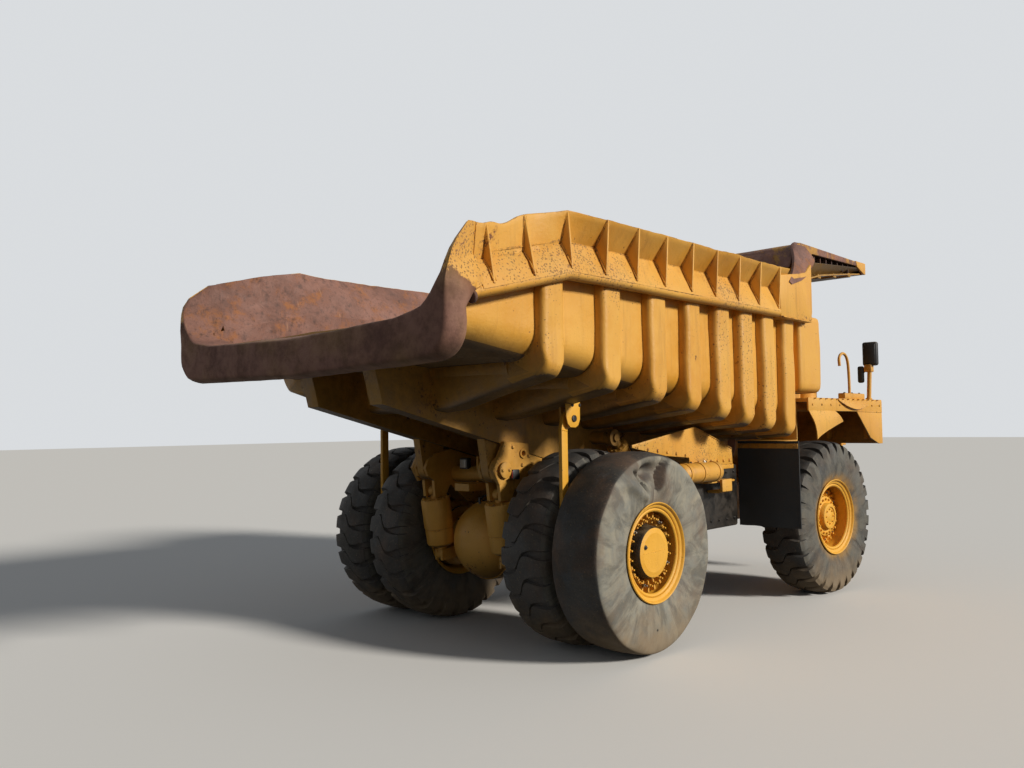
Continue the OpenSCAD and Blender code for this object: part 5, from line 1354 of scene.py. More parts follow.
def make_deck(side, name):
    """One walkway beside the bonnet: tread plate, folded edge band, bent hangers and the front plate."""
    p = Piece("deck_plates_" + name, "deck")
    p.block((side * DECK_IN_X, -3.985, 2.50), (side * DECK_OUT_X, -1.59, 2.548), 0.006)
    low, high = sorted((side * DECK_IN_X, side * DECK_OUT_X))
    for i in range(13):
        y = lerp(-3.8, -1.75, i / 12)
        p.rod((low + 0.05 * side, y, 2.546), (high - 0.05 * side, y, 2.546), 0.008, sides=6)
    band = [(-1.585, 2.39), (-1.585, 2.555), (-3.99, 2.555), (-4.0, 2.52), (-4.0, 2.37), (-3.2, 2.385)]
    p.plate(band, 0, side * 2.045, side * 2.066, bevel=0.004)
    hanger = [(-3.10, 2.385), (-3.56, 2.02), (-3.86, 1.93), (-4.0, 1.93), (-4.0, 2.375)]
    p.plate(hanger, 0, side * 2.046, side * 2.063, bevel=0.004)
    # Plate bent out at its foot, like a sail
    rows = []
    for i in range(15):
        u = i / 14
        top = Vector((2.05, lerp(-1.60, -2.38, u), 2.392))
        foot = Vector((2.062, lerp(-1.80, -2.60, u), lerp(2.03, 2.25, u**0.8)))
        row = []
        for out in (0.0, 0.014):
            line = []
            for j in range(9):
                q = top.lerp(foot, j / 8)
                q.x += out + 0.03 * math.sin(math.pi * j / 8) * (1 - 0.4 * u) + 0.004 * wobble(q, 6.0, 3.0)
                line.append((side * q.x, q.y, q.z))
            row += line if out == 0.0 else line[::-1]
        rows.append(row)
    p.use("shelf").loft(rows)
    # Leaf-shaped flap folded down over the band
    rows = []
    for i in range(17):
        u = i / 16
        y = lerp(-2.48, -3.46, u)
        half = 0.062 * math.sin(math.pi * min(1.0, u * 1.05)) ** 0.8 + 0.006
        mid = lerp(2.535, 2.47, u)
        row = []
        for j in range(8):
            t = math.tau * j / 8
            x = side * (2.075 + 0.006 * math.sin(t) - 0.03 * math.cos(t) * half / 0.06)
            row.append((x, y, mid + half * math.cos(t) - 0.02 * math.sin(math.pi * u)))
        rows.append(row)
    p.loft(rows)
    p.use("deck")
    front = [
        (DECK_IN_X, 1.52), (DECK_IN_X, 2.49), (DECK_OUT_X, 2.49), (DECK_OUT_X, 1.93), (1.45, 1.93),
        (1.15, 1.52)]
    outline = [(side * x, z) for x, z in front]
    # Painted shade: the plate's face toward the cab takes the dark underside enamel
    p.plate(outline, 1, -4.02, -3.995, 0.006, lambda c, n: "under" if n.y > 0.5 else None)
    for x in (0.75, 1.3, 1.85):
        p.block((side * (x - 0.02), -3.99, 2.0), (side * (x + 0.02), -3.90, 2.49), 0.006)
        p.block((side * (x - 0.02), -3.985, 2.40), (side * (x + 0.02), -1.62, 2.498), 0.006)
    p.bolts((side * 2.067, -1.7, 2.47), (side * 2.067, -3.9, 2.47), 9, (side, 0, 0), 0.012, 0.01)
    p.bolts((side * 0.75, -4.021, 2.42), (side * 1.95, -4.021, 2.42), 7, (0, -1, 0), 0.013, 0.011)
    p.weld([(side * 2.064, -3.12, 2.386), (side * 2.064, -3.5, 2.383), (side * 2.064, -3.98, 2.378)], 0.006)
    if side < 0:
        # Low box beside the walkway's edge; the door swings over that place on the left
        p.block((side * 1.93, -3.48, 2.55), (side * 2.03, -2.80, 2.635), 0.012)
        p.use("black").bolts(
            (side * 1.98, -3.4, 2.637), (side * 1.98, -2.9, 2.637), 3, (0, 0, 1), 0.013, 0.012
        )
    return p.done(name + "_deck")


def make_rails():
    """Handrails of the left walkway, both ladders and the hooked grab pipe on the right."""
    p = Piece("rails_and_ladders", "deck")
    y = -3.95
    hoop = [
        (0.68, 2.55), (0.68, 3.25), (0.70, 3.40), (0.84, 3.43), (1.84, 3.43), (1.98, 3.40), (2.0, 3.25),
        (2.0, 2.55)
    ]
    p.tube(curve_points([(x, y, z) for x, z in hoop], 6), 0.019, 12)
    p.rod((1.34, y, 2.55), (1.34, y, 3.42), 0.018, sides=12)
    p.rod((0.68, y, 3.0), (2.0, y, 3.0), 0.017, sides=12)
    for x in (0.68, 1.34, 2.0):
        p.block((x - 0.045, y - 0.035, 2.549), (x + 0.045, y + 0.035, 2.563), 0.004)
        for dx in (-0.03, 0.03):
            p.bolt((x + dx, y, 2.563), (0, 0, 1), 0.009, 0.009)
    for s in (-1, 1):
        for x in (1.08, 1.42):
            p.block((s * x, -4.078, 1.19), (s * (x + 0.03), -4.022, 2.45), 0.008)
            p.bolts((s * (x + 0.015), -4.08, 1.3), (s * (x + 0.015), -4.08, 2.38), 4, (0, -1, 0), 0.012, 0.01)
        for i in range(4):
            z = 1.30 + 0.3 * i
            p.block((s * 1.08, -4.19, z), (s * 1.45, -4.08, z + 0.03), 0.008)
            for k in range(9):
                x = s * lerp(1.11, 1.42, k / 8)
                p.rod((x, -4.18, z + 0.029), (x, -4.09, z + 0.029), 0.005, sides=6)
    hook = [
        (-3.07, 2.55), (-3.07, 2.80), (-3.05, 3.02), (-3.0, 3.13), (-2.90, 3.175), (-2.80, 3.15),
        (-2.755, 3.09), (-2.765, 3.0)
    ]
    p.tube(curve_points([(-1.98, hy, hz) for hy, hz in hook], 6), 0.019, 12)
    p.rod((-1.98, -3.07, 2.549), (-1.98, -3.07, 2.575), 0.04, sides=14, bevel=0.004)
    return p.done("handrails")


def make_mirrors():
    """A pole on each walkway with its clamp, a tall mirror housing and a small one."""
    p = Piece("mirror_heads", "deck", slot="dark_paint")
    for s in (-1, 1):
        p.use("deck").rod((s * 2.0, -3.70, 2.55), (s * 2.02, -3.72, 3.08), 0.03, sides=14)
        p.rod((s * 2.0, -3.70, 2.549), (s * 2.0, -3.70, 2.58), 0.045, sides=14, bevel=0.004)
        p.block((s * 1.955, -3.77, 2.95), (s * 2.06, -3.66, 3.06), 0.014)
        p.bolts((s * 1.98, -3.655, 2.98), (s * 1.98, -3.655, 3.03), 2, (0, 1, 0), 0.009, 0.009)
        p.use("black").block((s * 1.925, -3.775, 3.04), (s * 2.135, -3.685, 3.38), 0.032, seg=4)
        p.block((s * 1.95, -3.69, 3.07), (s * 2.11, -3.676, 3.35), 0.006)
        p.rod((s * 1.98, -3.72, 2.98), (s * 1.90, -3.70, 2.93), 0.012, sides=8)
        p.block((s * 1.85, -3.74, 2.80), (s * 1.94, -3.68, 3.04), 0.028, seg=4)
    return p.done("mirrors")


def make_lamps():
    """Head lamps on the front plates and the square tail lamps."""
    p = Piece("lamp_units", "black", slot="lamp_face")
    for x in (-1.7, -0.9, 0.9, 1.7):
        to = ring_to(x, -4.02, 2.15, (0, -1, 0))
        p.use("black").lathe(
            [
                (0.0, 0.0), (0.0, 0.088), (0.05, 0.09), (0.06, 0.084), (0.056, 0.078), (0.03, 0.076),
                (0.03, 0.0)
            ],
            to, 32
        )
        p.use("lens").lathe(
            [(0.032, 0.0), (0.032, 0.075), (0.044, 0.07), (0.053, 0.045), (0.056, 0.0)], to, 32
        )
        p.use("black").ring_bolts(to, 0.058, 0.082, 3, 0.006, 0.005, 0.5)
    for s in (-1, 1):
        p.block((s * 0.642, 2.2, 1.7), (s * 0.68, 2.3, 1.8), 0.008)
        p.use("red_lens").block((s * 0.648, 2.29, 1.712), (s * 0.674, 2.308, 1.788), 0.006, seg=3)
        p.use("black")
    return p.done("lamps")


def make_bonnet_fittings():
    """The bonnet's seams, louvred doors, latches and lifting eyes; the bumper's and grille's fittings."""
    p = Piece("bonnet_fittings", "deck")
    for y in (-3.3, -2.45):
        p.block((-0.60, y - 0.02, 2.566), (0.60, y + 0.02, 2.578), 0.004)
        p.bolts((-0.55, y, 2.577), (0.55, y, 2.577), 6, (0, 0, 1), 0.011, 0.009)
    p.block((-0.30, -3.15, 2.566), (0.30, -2.6, 2.582), 0.006)
    for x in (-0.5, 0.5):
        eye = [(x, -3.95, 2.57), (x, -3.95, 2.60), (x, -3.90, 2.625), (x, -3.85, 2.60), (x, -3.85, 2.57)]
        p.tube(curve_points(eye, 4), 0.010, 8)
    for k in range(9):
        y = lerp(-3.08, -2.67, k / 8)
        p.use("black").block((-0.26, y - 0.008, 2.58), (0.26, y + 0.008, 2.588), 0.003)
    p.use("deck")
    # Grille surround and its mesh bars
    p.block((-0.62, -4.168, 2.43), (0.62, -4.149, 2.49), 0.006)
    p.block((-0.62, -4.168, 1.5), (0.62, -4.149, 1.56), 0.006)
    for x in (-0.59, 0.59):
        p.block((x - 0.03, -4.168, 1.5), (x + 0.03, -4.149, 2.49), 0.006)
    p.bolts((-0.56, -4.169, 2.46), (0.56, -4.169, 2.46), 7, (0, -1, 0), 0.011, 0.009)
    p.bolts((-0.56, -4.169, 1.53), (0.56, -4.169, 1.53), 7, (0, -1, 0), 0.011, 0.009)
    for i in range(13):
        x = lerp(-0.52, 0.52, i / 12)
        p.use("black").rod((x, -4.145, 1.56), (x, -4.145, 2.43), 0.007, sides=6)
    # Bumper: upper lip, end plates, bolts and weld beads
    p.use("deck").block((-1.49, -4.315, 1.18), (1.49, -4.19, 1.196), 0.005)
    for x in (-1.1, 1.1):
        p.block((x - 0.16, -4.334, 0.86), (x + 0.16, -4.32, 1.10), 0.006)
        for dx in (-0.12, 0.12):
            for z in (0.9, 1.06):
                p.bolt((x + dx, -4.334, z), (0, -1, 0), 0.018, 0.014)
    for s in (-1, 1):
        p.weld([(s * 0.42, -4.323, 0.85), (s * 0.42, -4.323, 0.94), (s * 0.42, -4.323, 1.02)], 0.008)
        p.block((min(s * 1.496, s * 1.5), -4.30, 0.80), (s * 1.503, -4.19, 1.16), 0.002)
    return p.done()


def make_cab_fittings():
    """Rubber seals, gutter, visor, wiper, handles and vents of the cab."""
    p = Piece("cab_fittings", "deck")
    x0, x1, y0, y1, top = 0.7, 1.8, -3.8, -2.32, 4.11
    for a, b in (((x0, y0), (x1, y0)), ((x0, y1), (x1, y1)), ((x0, y0), (x0, y1)), ((x1, y0), (x1, y1))):
        lo = (min(a[0], b[0]) - 0.018, min(a[1], b[1]) - 0.018, top - 0.075)
        hi = (max(a[0], b[0]) + 0.018, max(a[1], b[1]) + 0.018, top - 0.05)
        p.block(lo, hi, 0.006)
    p.block((x0 + 0.03, y0 + 0.03, top - 0.002), (x1 - 0.03, y1 - 0.03, top + 0.012), 0.006)
    p.block((x0 + 0.05, y0 - 0.12, 3.92), (x1 - 0.05, y0 + 0.01, 3.94), 0.006)
    p.bolts((x0 + 0.1, y0 - 0.002, 3.97), (x1 - 0.1, y0 - 0.002, 3.97), 7, (0, -1, 0), 0.01, 0.008)
    p.use("hose")
    seals = [
        [(x0 + 0.11, y0 - 0.004, 3.31), (x1 - 0.11, y0 - 0.004, 3.31), (x1 - 0.11, y0 - 0.004, 3.92),
         (x0 + 0.11, y0 - 0.004, 3.92)],
        [(x0 + 0.15, y1 + 0.004, 3.41), (x1 - 0.15, y1 + 0.004, 3.41), (x1 - 0.15, y1 + 0.004, 3.92),
         (x0 + 0.15, y1 + 0.004, 3.92)],
        [(x0 - 0.004, y0 + 0.15, 3.31), (x0 - 0.004, y1 - 0.15, 3.31), (x0 - 0.004, y1 - 0.15, 3.92),
         (x0 - 0.004, y0 + 0.15, 3.92)]]
    for seal in seals:
        for a, b in zip(seal, seal[1:] + seal[:1]):
            p.rod(a, b, 0.012, sides=8)
    # Wiper on the front pane
    p.use("black").rod((1.25, -3.81, 3.36), (1.42, -3.806, 3.72), 0.007, sides=6)
    p.rod((1.36, -3.80, 3.48), (1.47, -3.80, 3.88), 0.006, sides=6)
    p.rod((1.25, -3.80, 3.36), (1.25, -3.825, 3.36), 0.02, sides=12)
    # Lower skirts, a vent and the grab handle beside the door
    p.use("deck").block((x0 + 0.1, y1 - 0.006, 2.65), (x1 - 0.1, y1 + 0.008, 3.25), 0.005)
    p.block((x0 + 0.12, y0 - 0.008, 2.62), (x1 - 0.12, y0 + 0.006, 3.22), 0.005)
    p.block((x0 - 0.008, y0 + 0.2, 2.65), (x0 + 0.006, y1 - 0.2, 3.22), 0.005)
    for k in range(6):
        z = 2.78 + 0.045 * k
        p.use("black").block((0.95, y1 + 0.006, z), (1.3, y1 + 0.016, z + 0.014), 0.003)
    grab = [(1.805, -2.50, 2.75), (1.85, -2.50, 2.78), (1.85, -2.50, 3.6), (1.805, -2.50, 3.63)]
    p.tube(curve_points(grab, 6), 0.013, 10)
    return p.done()


def make_door_fittings():
    """Seal, handle and kick plate on the door."""
    p = Piece("door_fittings", "hose", body="cab_door")
    ring = [(1.804, -3.35, 3.31), (1.804, -2.73, 3.31), (1.804, -2.73, 3.92), (1.804, -3.35, 3.92)]
    for a, b in zip(ring, ring[1:] + ring[:1]):
        p.rod(a, b, 0.011, sides=8)
    p.use("deck").block((1.798, -3.38, 2.66), (1.808, -2.70, 2.80), 0.004)
    handle = [(1.802, -2.72, 3.12), (1.835, -2.73, 3.12), (1.835, -2.83, 3.12), (1.802, -2.84, 3.12)]
    p.use("steel").tube(curve_points(handle, 5), 0.008, 8)
    p.use("black").rod((1.798, -2.78, 3.19), (1.812, -2.78, 3.19), 0.018, sides=14)
    return p.done()


def make_interior():
    """Driver's seat, dashboard, steering wheel, levers and pedals."""
    pads = (
        ("seat_cushion", (1.01, -3.08, 2.99), (1.49, -2.6, 3.11)),
        ("seat_back", (1.02, -2.58, 3.05), (1.48, -2.47, 3.66)),
    )
    for name, lo, hi in pads:
        q = Piece(name, "seat", slot="cab_trim")
        part = bmesh.new()
        lo, hi = Vector(lo), Vector(hi)
        place = Matrix.Translation((lo + hi) / 2) @ Matrix.Diagonal(hi - lo).to_4x4()
        bmesh.ops.create_cube(part, size=1.0, matrix=place)
        q.round_off(part, 0.04, 4)
        bmesh.ops.subdivide_edges(part, edges=part.edges, cuts=3, use_grid_fill=True)
        for v in part.verts:
            v.co += v.normal * 0.006 * wobble(v.co, 9.0, 2.0)
        q.take(part)
        q.done(sharp=60)
    p = Piece("cab_equipment", "black", slot="dark_paint")
    p.block((1.05, -3.03, 2.6), (1.45, -2.66, 2.97), 0.03)
    p.block((1.03, -3.06, 2.95), (1.47, -2.6, 2.99), 0.01)
    p.block((1.10, -2.62, 2.9), (1.40, -2.585, 3.3), 0.01)
    dash = [
        (-3.75, 2.6), (-3.75, 3.22), (-3.66, 3.25), (-3.52, 3.16), (-3.49, 3.05), (-3.62, 2.98), (-3.62, 2.6)
    ]
    p.plate(dash, 0, 0.83, 1.67, bevel=0.012)
    gauge = [(0.0, 0.0), (0.0, 0.04), (0.012, 0.042), (0.014, 0.034), (0.008, 0.0)]
    for x in (0.95, 1.08, 1.42, 1.55):
        p.use("steel").lathe(gauge, ring_to(x, -3.58, 3.215, (0, 0.55, 0.83)), 20)
    p.use("black").rod((1.25, -3.54, 3.1), (1.25, -3.36, 3.30), 0.022, sides=12)
    hub = Vector((1.25, -3.335, 3.32))
    way = Vector((0, 0.66, 0.75)).normalized()
    to = ring_to(*hub, way)
    p.tube([to(0.0, 0.2, k * math.tau / 36) for k in range(37)], 0.015, 8)
    for k in range(3):
        p.rod(to(0.0, 0.02, k * math.tau / 3 + 0.5), to(0.0, 0.19, k * math.tau / 3 + 0.5), 0.01, sides=8)
    p.rod(to(-0.02, 0, 0), to(0.02, 0, 0), 0.04, sides=16, bevel=0.006)
    for x in (1.12, 1.30, 1.40):
        p.block((x - 0.03, -3.60, 2.68), (x + 0.03, -3.53, 2.70), 0.006, turn=Matrix.Rotation(0.8, 4, "X"))
        p.rod((x, -3.58, 2.68), (x, -3.64, 2.74), 0.008, sides=8)
    p.rod((1.58, -2.95, 2.6), (1.56, -3.0, 3.12), 0.011, sides=8)
    p.rod((1.56, -3.0, 3.10), (1.557, -3.005, 3.16), 0.024, 0.018, sides=12, bevel=0.005)
    p.use("lining").block((0.76, -3.7, 2.598), (1.74, -2.4, 2.606), 0.002)
    return p.done("cab_interior")


def make_air_cleaners():
    """Two ribbed canisters with clamp bands and rain caps on the right walkway."""
    p = Piece("air_cleaner_cans", "deck")
    for y in (-3.45, -2.9):
        to = ring_to(-1.15, y, 2.55, (0, 0, 1))
        wall = [
            (0.0, 0.0), (0.0, 0.19), (0.03, 0.19), (0.035, 0.182), (0.16, 0.182), (0.165, 0.19),
            (0.195, 0.19), (0.20, 0.182), (0.40, 0.182)
        ]
        p.lathe(wall + [(0.46, 0.17), (0.505, 0.12), (0.515, 0.07), (0.515, 0.0)], to, 40)
        p.lathe(
            [
                (0.51, 0.0), (0.51, 0.07), (0.53, 0.072), (0.54, 0.118), (0.585, 0.118), (0.605, 0.09),
                (0.61, 0.0)
            ],
            to, 32
        )
        p.use("steel").lathe([(0.375, 0.18), (0.375, 0.187), (0.395, 0.187), (0.395, 0.18)], to, 40)
        for k in range(10):
            t = k * math.tau / 10
            p.use("black").rod(to(0.545, 0.112, t), to(0.58, 0.112, t), 0.008, sides=6)
        p.use("deck").bolts(
            (-1.15 + 0.16, y - 0.1, 2.56), (-1.15 + 0.16, y + 0.1, 2.56), 2, (0, 0, 1), 0.012, 0.01
        )
        p.block((-1.0, y - 0.06, 2.549), (-0.965, y + 0.06, 2.6), 0.005)
    return p.done("air_cleaners")


# Chassis fittings


def make_rear_struts():
    """Twin gas struts between axle and frame: thick barrels with a seam ring, collars and pinned eyes."""
    p = Piece("rear_strut_units", "deck")
    foot, top = STRUT_FOOT, STRUT_TOP
    length = (top - foot).length
    for s in (-1, 1):
        to = ring_to(s * STRUT_X, foot.y, foot.z, top - foot)
        p.use("deck").lathe([
            (0.10, 0.0), (0.10, 0.10), (0.115, 0.125), (0.13, 0.150), (0.145, 0.156), (0.295, 0.156),
            (0.30, 0.150), (0.308, 0.150), (0.313, 0.160), (0.33, 0.162), (length - 0.10, 0.162),
            (length - 0.085, 0.154), (length - 0.08, 0.12), (length - 0.08, 0.0)], to, 56)
        p.ring_bolts(to, length - 0.081, 0.135, 10, 0.011, 0.012)
        p.use("chassis")
        for c in (foot, top):
            p.rod(
                (s * STRUT_X - 0.032, c.y, c.z), (s * STRUT_X + 0.032, c.y, c.z), 0.062, sides=28, bevel=0.006
            )
        p.rod(to(0.0, 0, 0), to(0.12, 0, 0), 0.05, sides=24)
        p.rod(to(length - 0.1, 0, 0), to(length, 0, 0), 0.045, sides=24)
        p.use("grease").rod(to(0.16, 0.155, 1.2), to(0.16, 0.175, 1.2), 0.012, sides=6)
        p.rod(to(length - 0.12, 0.158, 1.5), to(length - 0.12, 0.18, 1.5), 0.014, sides=6)
    return p.done("rear_struts")


def make_axle_fittings():
    """Domed cover of the differential with its plug, flanges and seams of the axle tube."""
    p = Piece("axle_cover", "deck")
    to = ring_to(0.02, 1.93, 1.0, (0, 1, 0))
    dome = [(0.425 * math.sin(k * math.pi / 24), 0.425 * math.cos(k * math.pi / 24)) for k in range(13)]
    p.lathe(
        [(-0.02, 0.0), (-0.02, 0.43), (0.0, 0.43)] + [(a * 0.93, r) for a, r in dome[1:-1]] + [(0.395, 0.0)],
        to, 64
    )
    p.weld([to(0.09, 0.415, k * math.tau / 24) for k in range(25)], 0.007)
    for s in (-1, 1):
        arm = ring_to(s * 0.42, 1.65, 1.0, (s, 0, 0))
        p.use("chassis").lathe([(0.0, 0.0), (0.0, 0.26), (0.03, 0.26), (0.03, 0.0)], arm, 48)
        p.ring_bolts(arm, 0.031, 0.24, 20, 0.011, 0.012)
        p.weld([arm(0.16, 0.222, k * math.tau / 20) for k in range(21)], 0.006)
    p.use("grease").rod((-0.18, 2.19, 0.97), (-0.185, 2.245, 0.97), 0.028, sides=16, bevel=0.004)
    p.rod((-0.185, 2.24, 0.97), (-0.186, 2.262, 0.97), 0.015, sides=6)
    p.rod((0.06, 2.05, 1.36), (0.06, 2.06, 1.47), 0.014, sides=8)
    # Brake pipe along the tube
    pipe = [
        (-0.68, 1.80, 1.17), (-0.5, 1.84, 1.2), (-0.3, 1.9, 1.38), (-0.1, 1.86, 1.46), (0.2, 1.86, 1.46),
        (0.5, 1.84, 1.2), (0.68, 1.80, 1.17)
    ]
    p.use("hose").tube(curve_points(pipe, 5), 0.011, 8)
    return p.done()


def make_frame_fittings():
    """Bolted plates, pin keepers, pipes and small brackets on the frame."""
    p = Piece("frame_fittings", "chassis")
    for s in (-1, 1):
        x = s * 0.641
        for y, z in ((2.02, 1.93), (2.36, 1.86), (2.40, 1.72), (2.12, 1.84), (2.26, 2.03)):
            p.bolt((x, y, z), (s, 0, 0), 0.016, 0.014)
        p.lathe(
            [(0.0, 0.03), (0.0, 0.05), (0.014, 0.05), (0.014, 0.03), (0.0, 0.03)],
            ring_to(x, 2.11, 1.96, (s, 0, 0)), 28
        )
        # Keeper plate over the hinge pin
        p.rod((s * 0.66, HINGE_Y, HINGE_Z), (s * 0.678, HINGE_Y, HINGE_Z), 0.085, sides=32, bevel=0.005)
        p.bolts(
            (s * 0.678, HINGE_Y - 0.05, HINGE_Z), (s * 0.678, HINGE_Y + 0.05, HINGE_Z), 2, (s, 0, 0), 0.014,
            0.012
        )
        # Flange strips and bolts along the rail
        p.block((s * 0.40, -4.1, 1.49), (s * 0.612, -0.9, 1.503), 0.004)
        p.block((s * 0.40, -4.1, 0.893), (s * 0.612, 0.4, 0.908), 0.004)
        p.bolts((s * 0.601, -3.7, 1.2), (s * 0.601, -1.5, 1.2), 7, (s, 0, 0), 0.016, 0.014)
        p.bolts((s * 0.601, -0.95, 1.02), (s * 0.601, -0.15, 1.02), 4, (s, 0, 0), 0.016, 0.014)
        pipe = [
            (s * 0.63, -1.3, 1.32), (s * 0.63, -0.4, 1.30), (s * 0.63, 0.4, 1.42), (s * 0.63, 1.0, 1.52),
            (s * 0.63, 1.7, 1.60)
        ]
        p.use("hose").tube(curve_points(pipe, 6), 0.014, 8)
        p.use("chassis")
        for y, z in ((-0.9, 1.31), (0.1, 1.36), (0.9, 1.50)):
            p.block((s * 0.60, y - 0.02, z - 0.03), (s * 0.648, y + 0.02, z + 0.03), 0.005)
        # Collars of the front struts
        to = ring_to(s * 1.18, -2.55, 1.3, (0, 0, 1))
        p.lathe([(0.0, 0.112), (0.0, 0.158), (0.05, 0.162), (0.07, 0.152), (0.07, 0.12)], to, 40)
        p.lathe([(0.76, 0.14), (0.76, 0.160), (0.80, 0.162), (0.825, 0.14), (0.83, 0.0)], to, 40)
        p.ring_bolts(to, 0.826, 0.11, 8, 0.012, 0.012)
    # Small frame and a lamp between the rear rails
    for x in (-0.16, 0.02):
        p.use("deck").block((x - 0.012, 2.10, 1.64), (x + 0.012, 2.13, 1.92), 0.003)
    p.block((-0.17, 2.10, 1.76), (0.03, 2.125, 1.785), 0.003)
    p.use("black").block((0.14, 2.10, 1.78), (0.26, 2.17, 1.90), 0.012)
    p.use("lens").block((0.155, 2.165, 1.795), (0.245, 2.178, 1.885), 0.006)
    return p.done()


def make_tanks():
    """Fuel tank with straps and filler, oil tank under its guard plate, and the strapped air receiver."""
    p = Piece("fuel_tank_shell", "deck")
    p.block((1.052, -0.895, 1.002), (1.595, 0.195, 1.745), 0.05, seg=4)
    for y in (-0.68, -0.02):
        p.use("black").block((1.05, y - 0.03, 0.998), (1.602, y + 0.03, 1.752), 0.05, seg=4)
        p.use("steel").bolts((1.603, y, 1.2), (1.603, y, 1.28), 2, (1, 0, 0), 0.014, 0.012)
    p.use("black").rod((1.45, -0.35, 1.74), (1.45, -0.35, 1.80), 0.06, sides=24, bevel=0.008)
    p.use("deck").weld([(1.598, -0.85, 1.37), (1.598, -0.35, 1.372), (1.598, 0.15, 1.37)], 0.006)
    p.done("fuel_tank")
    p = Piece("oil_tank_and_guard", "grease")
    p.block((-1.445, -0.895, 1.002), (-1.052, 0.195, 1.745), 0.03, seg=3)
    p.rod((-1.25, -0.6, 1.74), (-1.25, -0.6, 1.82), 0.05, sides=20, bevel=0.008)
    p.bolts((-1.449, -0.8, 1.1), (-1.449, 0.1, 1.1), 6, (-1, 0, 0), 0.014, 0.012)
    p.bolts((-1.449, -0.8, 1.66), (-1.449, 0.1, 1.66), 6, (-1, 0, 0), 0.014, 0.012)
    guard = [
        (-0.78, 1.752), (-0.765, 1.93), (0.04, 2.195), (0.08, 2.208), (0.13, 2.20), (1.30, 2.03), (1.30, 2.0),
        (0.67, 1.895), (0.2, 1.86), (0.19, 1.752)
    ]
    p.use("shelf").plate(guard, 0, -1.452, -1.432, bevel=0.005)
    p.block((-1.452, -0.80, 1.70), (-1.40, 0.22, 1.752), 0.006)
    p.bolts((-1.453, -0.7, 1.80), (-1.453, 0.15, 1.80), 7, (-1, 0, 0), 0.016, 0.014)
    p.bolts((-1.453, 0.28, 1.89), (-1.453, 1.2, 2.0), 6, (-1, 0, 0), 0.014, 0.012)
    p.weld([(-1.453, -0.76, 1.94), (-1.453, -0.35, 2.075), (-1.453, 0.06, 2.2)], 0.006)
    p.done("hydraulic_tank")
    p = Piece("air_receiver", "trim")
    to = ring_to(-1.64, -0.10, 1.70, (0, 1, 0))
    p.lathe(
        [
            (0.0, 0.0), (0.008, 0.05), (0.03, 0.09), (0.06, 0.11), (0.79, 0.11), (0.82, 0.09), (0.842, 0.05),
            (0.85, 0.0)
        ],
        to, 48
    )
    for a in (0.10, 0.42, 0.70):
        p.use("deck").lathe([(a, 0.109), (a, 0.118), (a + 0.035, 0.118), (a + 0.035, 0.109)], to, 40)
        p.use("black").rod(to(a + 0.018, 0.118, 2.2), to(a + 0.018, 0.15, 2.2), 0.01, sides=6)
    p.use("deck")
    for y in (0.0, 0.24):
        p.block((-1.63, y - 0.02, 1.64), (-1.45, y + 0.02, 1.70), 0.006)
    p.block((-1.60, -0.55, 1.56), (-1.452, 0.05, 1.585), 0.006)
    bracket = [
        (-1.66, 1.60), (-1.66, 1.46), (-1.60, 1.44), (-1.46, 1.44), (-1.46, 1.47), (-1.59, 1.475),
        (-1.63, 1.50), (-1.63, 1.60)
    ]
    p.plate(bracket, 1, -0.38, -0.16, bevel=0.004)
    p.use("steel").rod(to(0.2, 0.1, 2.0), to(0.2, 0.14, 2.0), 0.014, sides=6)
    return p.done("air_tank")


def make_flaps():
    """Rubber flaps behind the front wheels: clamped at the top, with a bent plate and a faded step."""
    p = Piece("rubber_flaps", "flap", slot="rubber_sheet")
    for s in (-1, 1):
        rows = []
        for i in range(25):
            x = lerp(1.285, 2.095, i / 24)
            row = []
            for side_y in (0, 1):
                line = []
                for j in range(21):
                    z = lerp(0.965, 2.02, j / 20)
                    wave = 0.012 * math.sin(x * 9 + 1.5 * s) * (1 - j / 20) + 0.006 * wobble((x, z, s), 3.0)
                    edge = 0.006 * wobble((x, z, 7), 5.0) if j == 0 else 0.0
                    line.append((s * x, -1.221 + wave + (0.009 if side_y else -0.009), z + edge))
                row += line if not side_y else line[::-1]
            rows.append(row)
        p.use("flap").loft(rows)
        p.use("chassis").block((s * 1.29, -1.209, 1.93), (s * 2.09, -1.199, 1.99), 0.003)
        p.bolts((s * 1.34, -1.199, 1.96), (s * 2.04, -1.199, 1.96), 7, (0, 1, 0), 0.013, 0.011)
        hang = [
            (-1.61, 2.485), (-1.595, 2.485), (-1.595, 2.03), (-1.235, 2.022), (-1.235, 2.007), (-1.61, 2.012)
        ]
        p.plate(hang, 0, s * 1.4, s * 1.9, bevel=0.003)
        # Bent step plate beside the flap
        rows = []
        for y, z in (
            (-1.44, 2.06), (-1.20, 2.055), (-1.185, 2.02), (-1.17, 1.90), (-1.13, 1.84), (-1.02, 1.76)
        ):
            rows.append(
                [
                    (s * 1.27, y, z), (s * 1.17, y, z + 0.006), (s * 1.17, y + 0.008, z + 0.016),
                    (s * 1.27, y + 0.008, z + 0.01)
                ]
            )
        p.use("primer").loft(rows)
    return p.done("mud_flaps")


